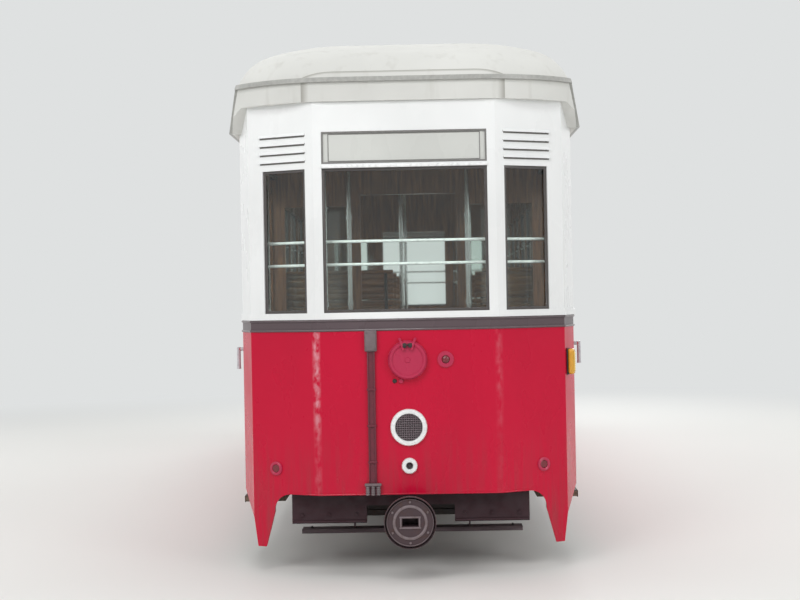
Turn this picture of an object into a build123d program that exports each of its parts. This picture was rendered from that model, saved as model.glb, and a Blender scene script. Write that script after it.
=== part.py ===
from build123d import *
from math import hypot
import os

# Enclosed two-axle tram trailer with a platform at each end. Millimetres.
# X runs across, Y along (front end towards -Y), Z up. The origin is on the floor under the
# middle of the car, which stands on its wheel flanges. Heights are given above the rail top,
# and a setback is the distance behind the front face of the dash at either end.

# Wheels and axles
flange_depth = 22
flange_thickness = 27
tread_r = 370
tyre_width = 105
tyre_thickness = 55
wheel_back_to_back = 1380
wheel_hub_r = 110
wheel_plate_depth = 50
tread_rise = 3
tread_fall = 6
wheelbase = 3400
wheel_seat_r = 72
journal_gap = 12
journal_r = 45
journal_length = 100
journal_clearance = 0.05

# Lengths and widths of the body; each width follows from the one before it
body_length = 9600
platform_length = 1950
centre_facet_half = 530
corner_setback = 200
flare_setback = 420
side_clearance = 47.5
platform_step_in = 25
flare_width = 75
end_wall = 45
platform_wall = 40
saloon_wall = 60
bulkhead_thickness = 50

# Heights: the panel starts above the rail top, and each further piece stands on the last
panel_bottom_height = 450
panel_height = 958
belt_height = 64
sill_board = 38
end_window_height = 840
saloon_window_height = 810
window_head = 25
sign_height = 187
sign_head = 38
fascia_height = 135
roof_band_height = 138
crown_rise = 289
saloon_floor_height = 880
platform_floor_height = 660
floor_thickness = 50

# Skirts of the dash: where their curved inner edge starts and how wide the tip is
skirt_start_half = 700
skirt_curve_half = 800
skirt_curve_height = 340
skirt_tip_height = 135
skirt_tip_width = 52
skirt_tip_in = 22
skirt_flank_height = 300

# Roof form
eave_reach = 10
roof_overhang = 20
roof_skin = 35
roof_rim = 110
dome_setback = 780
dome_rise = 8
dome_flat_half = 415
dome_knee_setback = 150
dome_knee_drop = 122
board_half = 260
arch_knee_in = 280
arch_knee_drop = 90
arch_shoulder_in = 45
arch_shoulder_drop = 312
parting_start_setback = 200
parting_end_setback = 359
rib_bend_setback = 243
moulding_size = 26
moulding_reach = 18

# Windows
centre_window_half = 480
facet_window_start = 56
facet_window_end = 347
platform_window_margin = 80
saloon_window_count = 8
saloon_post = 70
transom_share = 0.33
sash_width = 22
sash_depth = 24
pane_thickness = 6
sill_lip = 8

# Louvres over the small end windows
louvre_count = 4
louvre_pitch = 50
louvre_lift = 30
louvre_slot = 18
louvre_reach = 14
louvre_lip = 5
louvre_start = 50
louvre_end = 365

# Sign boards
sign_face_depth = 12
sign_box_depth = 130
sign_box_lap = 15

# Platform doors
door_start_setback = 480
door_opening_width = 700
door_top_lift = 70
door_thickness = 35
door_overlap = 34
door_edge_gap = 6
door_wall_gap = 15
door_floor_gap = 15
door_window_width = 420
door_window_bottom_height = 1530
door_window_corner = 60
door_groove = 12
door_rail_half = 10
door_rail_clearance = 0.3
door_rail_lift = 22
door_rail_lead = 28
door_bracket = 12
door_hanger_width = 60
door_hanger_wall = 8
handle_height = 1295
handle_drop = 120
handle_reach = 95
handle_r = 11
handle_inset = 41

# Couplers
coupler_height = 323
coupler_reach = 250
coupler_disc_r = 148
coupler_disc_thickness = 30
coupler_rim = 16
coupler_pin_setback = 700
coupler_pin_r = 25
coupler_pin_clearance = 0.05
coupler_collar_r = 45
coupler_collar_gap = 5
coupler_collar_thickness = 20
drawbar_width = 70
drawbar_height = 60
drawbar_eye_r = 60
coupling_hole_r = 16
coupling_mouth_width = 90
coupling_mouth_height = 44
coupling_head_width = 130
coupling_head_height = 104
coupling_head_length = 130

# Underframe
solebar_width = 60
solebar_depth = 150
crossbar_width = 60
bearer_half = 330
bearer_width = 60
bearer_depth = 110
head_beam_half = 700
head_beam_bottom_height = 268
head_beam_opening_half = 260
head_beam_opening_height = 370
head_beam_thickness = 60
head_beam_setback = 150

# Axle guards, boxes and springs
guard_thickness = 15
guard_clearance = 20
guard_half_width = 230
guard_foot = 45
guard_foot_height = 200
axlebox_half = 90
axlebox_cap = 33
axlebox_gap = 3
axlebox_bore_gap = 6
spring_half_length = 430
spring_width = 75
spring_leaf = 12
spring_leaf_count = 6
spring_camber = 70
spring_offset = 25
buckle_half = 45
shackle_width = 40

# Brakes
brake_gap = 6
brake_block = 40
brake_block_half_height = 110
brake_beam_r = 22
brake_hanger = 14
brake_hanger_half = 20
brake_hanger_drop = 60
brake_seat = 4
brake_crossbar_y = 1255

# Boards
step_board_height = 360
step_board_thickness = 32
step_board_width = 250
step_overhang = 15
step_strap_in = 60
apron_thickness = 20
lifeguard_height = 107
lifeguard_thickness = 26
lifeguard_depth = 120
lifeguard_half = 700
lifeguard_setback = 800
hanger_thickness = 12
side_guard_half_length = 1150
side_guard_bottom_height = 170
side_guard_depth = 230
side_guard_thickness = 30
side_guard_offset = 90
side_guard_strap_in = 80
strap_half = 30

# Inside
bulkhead_door_half = 340
bulkhead_door_rise = 1450
bulkhead_window_edge = 90
bulkhead_window_height = 740
bench_seat_height = 430
bench_back_height = 920
bench_depth = 430
bench_board = 28
bench_double = 860
bench_single = 460
bench_gap = 25
bench_back_lean = 40
bench_foot_in = 90
bench_foot = 180
pole_r = 17
pole_bulkhead_gap = 250
guard_bar_height = 24
guard_bar_thickness = 14
guard_bar_gap = 60
guard_bar_heights = (1792, 1927)
handbrake_x = -500
handbrake_setback = 330
handbrake_rise = 690
handbrake_column_r = 24
handbrake_rim = 28
handbrake_r = 130
handbrake_foot = 30
lamp_setback = 1000
lamp_bays = (-3, -1, 1, 3)
lamp_globe_r = 85
lamp_globe_height = 90
lamp_foot_r = 45
lamp_base_r = 50
lamp_base_height = 20

# Fittings on the dash
cover_height = 1230
cover_r = 115
cover_depth = 42
ring_height = 840
ring_r = 107
ring_depth = 22
ring_edge = 5
ring_wall = 28
ring_floor = 6
socket_height = 617
socket_r = 46
socket_hole_r = 20
socket_depth = 16
marker_half = 220
marker_height = 1230
marker_r = 48
marker_depth = 18
reflector_along = 285
reflector_height = 600
reflector_r = 28
reflector_depth = 14
indicator_height = 1195
indicator_share = 0.25
indicator_length = 160
indicator_width = 56
indicator_depth = 50
conduit_half = 213
conduit_width = 46
conduit_depth = 18
conduit_box_depth = 34
gland_box_width = 96
gland_box_height = 70
junction_box_width = 72
junction_box_height = 125

seat_gap = 0.3
bar_sides = 8
boss_sides = 16

rail_top = flange_depth
half_length = body_length / 2
saloon_end = half_length - platform_length
axle_z = rail_top + tread_r
axle_y = wheelbase / 2
wheel_inner = wheel_back_to_back / 2
wheel_outer = wheel_inner + tyre_width
journal_start = wheel_outer + journal_gap
journal_end = journal_start + journal_length

guard_x = wheel_outer + guard_clearance
solebar_half = guard_x + guard_thickness + solebar_width / 2
spring_half_position = solebar_half + spring_offset
saloon_inner = spring_half_position + spring_width / 2 + side_clearance
saloon_half = saloon_inner + saloon_wall
platform_half = saloon_half - platform_step_in
platform_inner = platform_half - platform_wall
corner_half = platform_half - flare_width
roof_half = saloon_half + eave_reach

dash_bottom = rail_top + panel_bottom_height
belt_bottom = dash_bottom + panel_height
belt_top = belt_bottom + belt_height
sill = belt_top + sill_board
window_top = sill + end_window_height
saloon_window_top = sill + saloon_window_height
sign_bottom = window_top + window_head
sign_top = sign_bottom + sign_height
sign_middle = sign_bottom + sign_height / 2
eave = sign_top + sign_head
fascia_top = eave + fascia_height
roof_rib = fascia_top + roof_band_height
roof_crown = roof_rib + crown_rise
door_top = window_top + door_top_lift
saloon_floor_top = rail_top + saloon_floor_height
platform_floor_top = rail_top + platform_floor_height
door_end_setback = door_start_setback + door_opening_width
louvre_heights = [sign_bottom + louvre_lift + i * louvre_pitch for i in range(louvre_count)]
both = (-1, 1)


def back(setback):
    """Y of a point that lies this far behind the face of the front dash."""
    return setback - half_length


def inset_line(points, distances):
    """The polyline moved to its left by one distance for each run, with mitred corners."""
    runs = []
    for (x0, y0), (x1, y1) in zip(points, points[1:]):
        length = hypot(x1 - x0, y1 - y0)
        runs.append(((x1 - x0) / length, (y1 - y0) / length))
    moved = []
    for i, (x, y) in enumerate(points):
        ax, ay = runs[max(i - 1, 0)]
        bx, by = runs[min(i, len(runs) - 1)]
        da = distances[max(i - 1, 0)]
        db = distances[min(i, len(runs) - 1)]
        cross = ax * by - ay * bx
        if abs(cross) < 1e-9:
            moved.append((x - by * db, y + bx * db))
            continue
        along = (db - da * (ax * bx + ay * by)) / -cross
        moved.append((x - ay * da + ax * along, y + ax * da + ay * along))
    return moved


def plate(profile_plane, points, thickness):
    """A flat plate: a polygon on a plane, given its thickness."""
    with BuildPart() as made:
        with BuildSketch(profile_plane):
            Polygon(*points, align=None)
        extrude(amount=thickness)
    return made.part


def block(x, y, z):
    """A plain block between low and high values on each axis."""
    with BuildPart() as made:
        with Locations(((x[0] + x[1]) / 2, (y[0] + y[1]) / 2, (z[0] + z[1]) / 2)):
            Box(abs(x[1] - x[0]), abs(y[1] - y[0]), abs(z[1] - z[0]))
    return made.part


def rod(start, end, radius):
    """A round bar between two points."""
    way = Vector(*end) - Vector(*start)
    with BuildPart() as made:
        with BuildSketch(Plane(origin=start, z_dir=way)):
            Circle(radius)
        extrude(amount=way.length)
    return made.part


def bar(start, end, radius):
    """A thin round bar, drawn with a few flat sides."""
    way = Vector(*end) - Vector(*start)
    with BuildPart() as made:
        with BuildSketch(Plane(origin=start, z_dir=way)):
            RegularPolygon(radius, bar_sides)
        extrude(amount=way.length)
    return made.part


# Plan of an end, from the left wall round to the right wall: x, setback
end_plan = [
    (-platform_half, platform_length),
    (-platform_half, flare_setback),
    (-corner_half, corner_setback),
    (-centre_facet_half, 0),
    (centre_facet_half, 0),
    (corner_half, corner_setback),
    (platform_half, flare_setback),
    (platform_half, platform_length),
]
plan_walls = [platform_wall] + 5 * [end_wall] + [platform_wall]
frame_outer = [(x, back(setback)) for x, setback in end_plan]
frame_inner = inset_line(frame_outer, plan_walls)
dash_outer = list(frame_outer)
dash_outer[0] = (-platform_half, back(door_start_setback))
dash_outer[-1] = (platform_half, back(door_start_setback))
dash_inner = inset_line(dash_outer, plan_walls)


def facet_plane(side, along, height):
    """Plane on an angled facet of the front dash, facing out; along is counted from its inner edge."""
    run_x = corner_half - centre_facet_half
    run = hypot(run_x, corner_setback)
    origin = (side * (centre_facet_half + along * run_x / run), back(along * corner_setback / run))
    across = (run_x / run, side * corner_setback / run, 0)
    outward = (side * corner_setback / run, -run_x / run, 0)
    return Plane(origin=(*origin, height), x_dir=across, z_dir=outward)


def flare_plane(side, share, height):
    """Plane on the narrow flare behind a front corner, facing out."""
    run_x = platform_half - corner_half
    run_y = flare_setback - corner_setback
    run = hypot(run_x, run_y)
    origin = (side * (corner_half + share * run_x), back(corner_setback + share * run_y))
    across = (run_x / run, side * run_y / run, 0)
    outward = (side * run_y / run, -run_x / run, 0)
    return Plane(origin=(*origin, height), x_dir=across, z_dir=outward)


def front_plane(x, height):
    """Plane on the centre facet of the front dash, facing out."""
    return Plane(origin=(x, back(0), height), x_dir=(1, 0, 0), z_dir=(0, -1, 0))


# Dash: a folded sheet that ends in a narrow skirt at each corner
def bottom_edge():
    """The front view of everything below the dash, as one face."""
    tip = rail_top + skirt_tip_height
    below = -skirt_tip_height
    with BuildSketch(Plane.XZ.offset(half_length + platform_length)) as edge:
        with BuildLine():
            Line((0, below), (0, dash_bottom))
            Line((0, dash_bottom), (skirt_start_half, dash_bottom))
            curve = TangentArc(
                (skirt_start_half, dash_bottom),
                (skirt_curve_half, rail_top + skirt_curve_height),
                tangent=(1, 0),
            )
            Polyline(
                curve @ 1,
                (corner_half - skirt_tip_in - skirt_tip_width, tip),
                (corner_half - skirt_tip_in, tip),
                (corner_half, rail_top + skirt_flank_height),
                (platform_half, dash_bottom),
                (2 * platform_half, dash_bottom),
                (2 * platform_half, below),
                (0, below),
            )
        make_face()
        mirror(about=Plane.YZ)
    return edge.sketch


below_dash = bottom_edge()
with BuildPart() as dash_front:
    with BuildSketch(Plane.XY.offset(rail_top)):
        Polygon(*dash_outer, *reversed(dash_inner), align=None)
    extrude(amount=belt_bottom - rail_top)
    extrude(below_dash, amount=-2 * platform_length, mode=Mode.SUBTRACT)

with BuildPart() as dash_rear:
    add(dash_front.part.rotate(Axis.Z, 180))

# Quarter panels: the red side sheets between the platform doors and the saloon
with BuildPart() as quarter_panels:
    for side in both:
        add(
            block(
                (side * platform_inner, side * platform_half),
                (back(door_end_setback), back(platform_length)),
                (dash_bottom, belt_bottom),
            )
        )
    mirror(about=Plane.XZ)


# Roof: an arch along the car whose ends are one profile led round in plan
def roof_form(side_in, top_in, end_in, boarded=False):
    """Solid roof shape, moved in at the sides, top and ends; a boarded one falls in straight runs."""
    crown = roof_crown - top_in
    dome_top = crown + dome_rise
    half = roof_half - side_in
    base = eave - roof_skin
    with BuildPart() as arch:
        with BuildSketch(Plane.XZ):
            with BuildLine():
                arch_knee = (saloon_half - arch_knee_in - side_in / 2, crown - arch_knee_drop)
                arch_end = (saloon_half - arch_shoulder_in - side_in, crown - arch_shoulder_drop)
                if boarded:
                    Polyline((0, crown), (board_half, crown), arch_knee, arch_end)
                else:
                    top = TangentArc((0, crown), arch_knee, tangent=(1, 0))
                    TangentArc(arch_knee, arch_end, tangent=top % 1)
                Polyline(arch_end, (half, eave), (half, base), (0, base), (0, crown))
            make_face()
            mirror(about=Plane.YZ)
        extrude(amount=body_length, both=True)
    with BuildPart() as dome:
        for side in both:
            with BuildSketch(Plane.YZ.offset(side * dome_flat_half)) as profile:
                with BuildLine():
                    start = (back(dome_setback), dome_top)
                    knee = (back(dome_knee_setback + end_in), crown - dome_knee_drop)
                    rib = (back(end_in - roof_overhang), roof_rib)
                    if boarded:
                        Polyline(start, knee, rib)
                    else:
                        run = TangentArc(start, knee, tangent=(-1, 0))
                        TangentArc(knee, rib, tangent=run % 1)
                    Polyline(
                        rib,
                        (back(end_in - roof_overhang), base),
                        (back(dome_setback), base),
                        (back(dome_setback), dome_top),
                    )
                make_face()
            if side < 0:
                extrude(amount=2 * dome_flat_half)
            turn_axis = Axis((side * dome_flat_half, back(dome_setback), 0), (0, 0, 1))
            revolve(profile.sketch, axis=turn_axis, revolution_arc=side * 90)
        mirror(about=Plane.XZ)
        with Locations((0, 0, (dome_top + base) / 2)):
            Box(2 * (dome_flat_half + dome_setback), 2 * (half_length - dome_setback), dome_top - base)
    with BuildPart() as form:
        add(arch.part)
        add(dome.part, mode=Mode.INTERSECT)
    return form.part


# Side view of the line where roof and walls part: raised over the end, level along the sides
parting_line = [
    (back(-platform_length), fascia_top),
    (back(parting_start_setback), fascia_top),
    (back(parting_end_setback), eave),
    (-back(parting_end_setback), eave),
    (-back(parting_start_setback), fascia_top),
    (-back(-platform_length), fascia_top),
]
side_view = Plane.YZ.offset(-2 * platform_half)
below_outline = parting_line + [(-back(-platform_length), 0), (back(-platform_length), 0)]
below_roof = plate(side_view, below_outline, 4 * platform_half)
roof_outer = roof_form(0, 0, 0)
roof_inner = roof_form(roof_rim, roof_skin, roof_rim + roof_overhang, boarded=True)
with BuildPart() as roof:
    add(roof_outer)
    add(roof_inner, mode=Mode.SUBTRACT)
    add(below_roof, mode=Mode.SUBTRACT)

moulding_z = roof_rib - moulding_size / 2
rib_line = [
    (back(-platform_length), moulding_z),
    (back(rib_bend_setback), moulding_z),
    (back(parting_end_setback), eave + moulding_size / 2),
]
rib_line = rib_line + [(-y, z) for y, z in reversed(rib_line)]
ribbon_low = inset_line(rib_line, 5 * [-moulding_size / 2])
ribbon_high = inset_line(rib_line, 5 * [moulding_size / 2])
ribbon = plate(side_view, ribbon_low + ribbon_high[::-1], 4 * platform_half)
with BuildPart() as drip_moulding:
    add(roof_form(-moulding_reach, 0, -moulding_reach))
    add(roof_outer, mode=Mode.SUBTRACT)
    add(ribbon, mode=Mode.INTERSECT)

quarter_window_width = platform_length - door_end_setback - 2 * platform_window_margin

# Front frame: the white upper end with its windows, sign opening and louvres
with BuildPart() as front_frame:
    with BuildSketch(Plane.XY.offset(belt_bottom)):
        Polygon(*frame_outer, *reversed(frame_inner), align=None)
    extrude(amount=fascia_top - belt_bottom)
    with BuildSketch(Plane.XY.offset(belt_top)):
        lip = inset_line(frame_outer, 7 * [-sill_lip])
        lip[0] = (-platform_half - sill_lip, back(door_start_setback))
        lip[-1] = (platform_half + sill_lip, back(door_start_setback))
        Polygon(*lip, *reversed(dash_outer), align=None)
    extrude(amount=sill - belt_top)
    add(below_roof, mode=Mode.INTERSECT)
    with BuildSketch(front_plane(0, 0)):
        with Locations((0, (sill + window_top) / 2)):
            Rectangle(2 * centre_window_half, window_top - sill)
        with Locations((0, sign_middle)):
            Rectangle(2 * centre_window_half, sign_height)
    extrude(amount=-2 * end_wall, mode=Mode.SUBTRACT)
    for side in both:
        middle = (facet_window_start + facet_window_end) / 2
        with BuildSketch(facet_plane(side, middle, (sill + window_top) / 2)):
            Rectangle(facet_window_end - facet_window_start, window_top - sill)
        extrude(amount=-2 * end_wall, mode=Mode.SUBTRACT)
        for height in louvre_heights:
            middle = (louvre_start + louvre_end) / 2
            with BuildSketch(facet_plane(side, middle, height)):
                Rectangle(louvre_end - louvre_start, louvre_slot)
            extrude(amount=-2 * end_wall, mode=Mode.SUBTRACT)
    with BuildSketch(Plane.YZ.offset(-2 * platform_half)):
        with Locations((back((door_start_setback + door_end_setback) / 2), (belt_bottom + door_top) / 2)):
            Rectangle(door_opening_width, door_top - belt_bottom)
        quarter_middle = (door_end_setback + platform_length) / 2
        with Locations((back(quarter_middle), (sill + window_top) / 2)):
            Rectangle(quarter_window_width, end_window_height)
    extrude(amount=4 * platform_half, mode=Mode.SUBTRACT)
    for side in both:
        for height in louvre_heights:
            slot_plane = facet_plane(side, louvre_start, height + louvre_slot / 2)
            hood_plane = Plane(
                origin=slot_plane.origin, x_dir=slot_plane.z_dir, z_dir=slot_plane.x_dir * side
            )
            with BuildSketch(hood_plane):
                up = 1 if hood_plane.y_dir.Z > 0 else -1
                Polygon(
                    (-louvre_slot, 0),
                    (0, 0),
                    (louvre_reach, -up * louvre_slot),
                    (louvre_reach - louvre_lip, -up * louvre_slot),
                    (-louvre_slot, -up * louvre_lip),
                    align=None,
                )
            extrude(amount=louvre_end - louvre_start)

with BuildPart() as rear_frame:
    add(front_frame.part.rotate(Axis.Z, 180))


# Saloon sides: a red lower panel and a white window frame on each side
def side_panel(side):
    return block(
        (side * saloon_inner, side * saloon_half), (-saloon_end, saloon_end), (dash_bottom, belt_bottom)
    )


window_pitch = (2 * saloon_end - saloon_post) / saloon_window_count
window_width = window_pitch - saloon_post
window_middles = [(i - (saloon_window_count - 1) / 2) * window_pitch for i in range(saloon_window_count)]


def side_frame(side):
    with BuildPart() as frame:
        add(block((side * saloon_inner, side * saloon_half), (-saloon_end, saloon_end), (belt_bottom, eave)))
        add(
            block(
                (side * saloon_half, side * (saloon_half + sill_lip)),
                (-saloon_end, saloon_end),
                (belt_top, sill),
            )
        )
        with BuildSketch(Plane.YZ.offset(side * saloon_half - saloon_wall)):
            with Locations(*[(y, (sill + saloon_window_top) / 2) for y in window_middles]):
                Rectangle(window_width, saloon_window_top - sill)
        extrude(amount=2 * saloon_wall, mode=Mode.SUBTRACT)
    return frame.part


with BuildPart() as side_panel_left:
    add(side_panel(-1))
with BuildPart() as side_panel_right:
    add(side_panel(1))
with BuildPart() as side_frame_left:
    add(side_frame(-1))
with BuildPart() as side_frame_right:
    add(side_frame(1))

# Sashes and panes of the saloon windows
sash_x = saloon_half - saloon_wall / 2
transom_z = saloon_window_top - transom_share * saloon_window_height
light_width = window_width - 2 * sash_width
sash_rails = 1.5 * sash_width
with BuildPart() as saloon_sashes:
    for side in both:
        with BuildSketch(Plane.YZ.offset(side * sash_x - sash_depth / 2)):
            with Locations(*[(y, (sill + saloon_window_top) / 2) for y in window_middles]):
                Rectangle(window_width, saloon_window_top - sill)
            for low, high in ((sill, transom_z), (transom_z, saloon_window_top)):
                with Locations(*[(y, (low + high) / 2) for y in window_middles]):
                    Rectangle(light_width, high - low - sash_rails, mode=Mode.SUBTRACT)
        extrude(amount=sash_depth)

with BuildPart() as saloon_panes:
    for side in both:
        with BuildSketch(Plane.YZ.offset(side * sash_x - pane_thickness / 2)):
            for low, high in ((sill, transom_z), (transom_z, saloon_window_top)):
                with Locations(*[(y, (low + high) / 2) for y in window_middles]):
                    Rectangle(light_width, high - low - sash_rails)
        extrude(amount=pane_thickness)

# Panes and sign boards of the ends, each set into its wall
def slab(plane, width, height, depth, thickness):
    """A flat piece of the given size, this deep behind a plane's face."""
    with BuildPart() as made:
        with BuildSketch(plane.offset(-depth)):
            Rectangle(width, height)
        extrude(amount=-thickness)
    return made.part


facet_window_middle = (facet_window_start + facet_window_end) / 2
facet_window_width = facet_window_end - facet_window_start
end_window_z = (sill + window_top) / 2
quarter_window_y = back((door_end_setback + platform_length) / 2)
pane_depth = (end_wall - pane_thickness) / 2
centre_plane = front_plane(0, end_window_z)
with BuildPart() as end_panes:
    add(slab(centre_plane, 2 * centre_window_half, end_window_height, pane_depth, pane_thickness))
    for side in both:
        facet = facet_plane(side, facet_window_middle, end_window_z)
        add(slab(facet, facet_window_width, end_window_height, pane_depth, pane_thickness))
        quarter = Plane(
            origin=(side * platform_half, quarter_window_y, end_window_z),
            x_dir=(0, 1, 0),
            z_dir=(side, 0, 0),
        )
        add(slab(quarter, quarter_window_width, end_window_height, pane_depth, pane_thickness))
    add(end_panes.part.rotate(Axis.Z, 180))

sign_plane = front_plane(0, sign_middle)
with BuildPart() as sign_boxes:
    add(slab(sign_plane, 2 * centre_window_half, sign_height, sign_face_depth, end_wall))
    add(slab(sign_plane, 2 * centre_window_half, sign_height + 2 * sign_box_lap, end_wall, sign_box_depth))
    add(sign_boxes.part.rotate(Axis.Z, 180))

# Floors
with BuildPart() as saloon_floor:
    add(
        block(
            (-saloon_inner, saloon_inner),
            (-saloon_end, saloon_end),
            (saloon_floor_top - floor_thickness, saloon_floor_top),
        )
    )

platform_edge = list(dash_inner)
platform_edge[0] = (-platform_inner, -saloon_end)
platform_edge[-1] = (platform_inner, -saloon_end)
with BuildPart() as platform_floors:
    with BuildSketch(Plane.XY.offset(platform_floor_top - floor_thickness)):
        Polygon(*platform_edge, align=None)
    extrude(amount=floor_thickness)
    mirror(about=Plane.XZ)


# Bulkheads between platforms and saloon: a doorway with a window on each side of it
bulkhead_y = (-saloon_end - bulkhead_thickness, -saloon_end)
with BuildPart() as bulkheads:
    add(roof_form(roof_rim + seat_gap, roof_skin + seat_gap, roof_rim, boarded=True))
    wall_half = platform_inner - seat_gap
    add(block((-wall_half, wall_half), (-half_length, half_length), (platform_floor_top, eave)))
    add(
        block((-wall_half, wall_half), bulkhead_y, (platform_floor_top, roof_crown)),
        mode=Mode.INTERSECT,
    )
    doorway_z = (saloon_floor_top, saloon_floor_top + bulkhead_door_rise)
    add(block((-bulkhead_door_half, bulkhead_door_half), bulkhead_y, doorway_z), mode=Mode.SUBTRACT)
    for side in both:
        window_x = (
            side * (bulkhead_door_half + bulkhead_window_edge),
            side * (platform_inner - bulkhead_window_edge),
        )
        window_z = (sill, sill + bulkhead_window_height)
        add(block(window_x, bulkhead_y, window_z), mode=Mode.SUBTRACT)
    mirror(about=Plane.XZ)

with BuildPart() as bulkhead_panes:
    for side in both:
        pane_x = (
            side * (bulkhead_door_half + bulkhead_window_edge),
            side * (platform_inner - bulkhead_window_edge),
        )
        pane_y = -saloon_end - bulkhead_thickness / 2
        pane_range = (pane_y - pane_thickness / 2, pane_y + pane_thickness / 2)
        add(block(pane_x, pane_range, (sill, sill + bulkhead_window_height)))
    mirror(about=Plane.XZ)

# Benches: facing pairs on each side of the gangway
bay_length = 2 * window_pitch
bay_count = saloon_window_count // 2
bay_edges = [(i - bay_count / 2) * bay_length for i in range(bay_count + 1)]


def bench_profile(edge, way):
    """Side outline of a bench whose back stands at this edge and whose seat looks this way."""
    floor = saloon_floor_top
    seat = floor + bench_seat_height
    top = floor + bench_back_height
    outline = [
        (bench_gap, seat - 3 * bench_board),
        (bench_gap, top),
        (bench_gap + bench_board, top),
        (bench_gap + bench_board + bench_back_lean, seat),
        (bench_depth, seat),
        (bench_depth, seat - bench_board),
        (bench_depth - bench_foot_in, seat - bench_board),
        (bench_depth - bench_foot_in, floor),
        (bench_depth - bench_foot_in - bench_foot, floor),
        (bench_depth - bench_foot_in - bench_foot, seat - 2 * bench_board),
    ]
    return [(edge + way * y, z) for y, z in outline]


bench_rows = [(-1, bench_double), (1, bench_single)]  # side, width
with BuildPart() as benches:
    for side, width in bench_rows:
        for low, high in zip(bay_edges, bay_edges[1:]):
            for edge, way in ((low, 1), (high, -1)):
                inner_x = side * (saloon_inner - width)
                wall_x = side * saloon_inner
                with BuildSketch(Plane.YZ.offset(min(inner_x, wall_x))):
                    Polygon(*bench_profile(edge, way), align=None)
                extrude(amount=width)


# Grab poles from floor to ceiling, and guard bars inside the end windows
def ceiling_z(x):
    """Height of the ceiling boards at this distance from the middle."""
    crown = roof_crown - roof_skin - seat_gap
    knee_x = saloon_half - arch_knee_in - roof_rim / 2
    return crown - arch_knee_drop * max(0, x - board_half) / (knee_x - board_half)


gangway_left = bench_double - saloon_inner
gangway_right = saloon_inner - bench_single
rear_pole_setback = platform_length - pole_bulkhead_gap
platform_poles = [(-520, 760), (-410, rear_pole_setback), (410, rear_pole_setback)]  # x, setback
saloon_poles = [gangway_left + 2 * pole_r, gangway_right - 2 * pole_r]  # x
with BuildPart() as grab_poles:
    for x, setback in platform_poles:
        top = ceiling_z(abs(x) + pole_r)
        add(bar((x, back(setback), platform_floor_top), (x, back(setback), top), pole_r))
    add(grab_poles.part.rotate(Axis.Z, 180))
    for x in saloon_poles:
        for y in (bay_edges[1], bay_edges[-2]):
            add(bar((x, y, saloon_floor_top), (x, y, ceiling_z(abs(x) + pole_r)), pole_r))

bar_outer = inset_line(frame_outer[1:-1], 5 * [end_wall + guard_bar_gap])[1:-1]
bar_inner = inset_line(frame_outer[1:-1], 5 * [end_wall + guard_bar_gap + guard_bar_thickness])[1:-1]
with BuildPart() as guard_bars:
    for height in guard_bar_heights:
        low = rail_top + height - guard_bar_height / 2
        with BuildSketch(Plane.XY.offset(low)):
            Polygon(*bar_outer, *reversed(bar_inner), align=None)
        extrude(amount=guard_bar_height)
        for x, y in bar_outer[1:-1]:
            arm_x = (x - guard_bar_thickness / 2, x + guard_bar_thickness / 2)
            add(block(arm_x, (back(end_wall), y), (low, low + guard_bar_height)))
    add(guard_bars.part.rotate(Axis.Z, 180))

# Handbrake column with its wheel at the left of each platform
handbrake_top = platform_floor_top + handbrake_rise
with BuildPart() as handbrakes:
    x, y = handbrake_x, back(handbrake_setback)
    add(bar((x, y, platform_floor_top), (x, y, handbrake_top), handbrake_column_r))
    foot_x = (x - 2 * handbrake_column_r, x + 2 * handbrake_column_r)
    foot_y = (y - 2 * handbrake_column_r, y + 2 * handbrake_column_r)
    add(block(foot_x, foot_y, (platform_floor_top, platform_floor_top + handbrake_foot)))
    with BuildSketch(Plane.XY.offset(handbrake_top - handbrake_rim)):
        with Locations((x, y)):
            RegularPolygon(handbrake_r + handbrake_rim / 2, boss_sides)
            RegularPolygon(handbrake_r - handbrake_rim / 2, boss_sides, mode=Mode.SUBTRACT)
            Rectangle(2 * handbrake_r, handbrake_rim)
    extrude(amount=handbrake_rim)
    add(handbrakes.part.rotate(Axis.Z, 180))

# Ceiling lamps: a row of glass bowls, one over each bay and each platform, on round bases
lamp_top = ceiling_z(lamp_globe_r)
lamp_neck = lamp_top - lamp_base_height
lamp_places = [bay * window_pitch for bay in lamp_bays] + [back(lamp_setback), -back(lamp_setback)]
lamp_profile = [  # radius, height
    (0, lamp_top),
    (lamp_base_r, lamp_top),
    (lamp_base_r, lamp_neck),
    (lamp_globe_r, lamp_neck),
    (lamp_foot_r, lamp_neck - lamp_globe_height),
    (0, lamp_neck - lamp_globe_height),
]
with BuildPart() as ceiling_lamps:
    for y in lamp_places:
        with BuildSketch(Plane.XZ.offset(-y)):
            Polygon(*lamp_profile, align=None)
        revolve(axis=Axis((0, y, 0), (0, 0, 1)))

# Underframe of the saloon and the bearers under the platforms
solebar_top = saloon_floor_top - floor_thickness
solebar_bottom = solebar_top - solebar_depth
bearer_top = platform_floor_top - floor_thickness
bearer_bottom = bearer_top - bearer_depth
crossbar_rows = [saloon_end - crossbar_width / 2, 2300, brake_crossbar_y, 400]  # y
with BuildPart() as solebars:
    for side in both:
        solebar_x = (
            side * (solebar_half - solebar_width / 2),
            side * (solebar_half + solebar_width / 2),
        )
        add(block(solebar_x, (-saloon_end, saloon_end), (solebar_bottom, solebar_top)))

crossbar_half = solebar_half - solebar_width / 2 - seat_gap
with BuildPart() as crossbars:
    for y in crossbar_rows:
        cross_y = (y - crossbar_width / 2, y + crossbar_width / 2)
        low = bearer_bottom if y == crossbar_rows[0] else solebar_bottom
        add(block((-crossbar_half, crossbar_half), cross_y, (low, solebar_top)))
    mirror(about=Plane.XZ)

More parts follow.
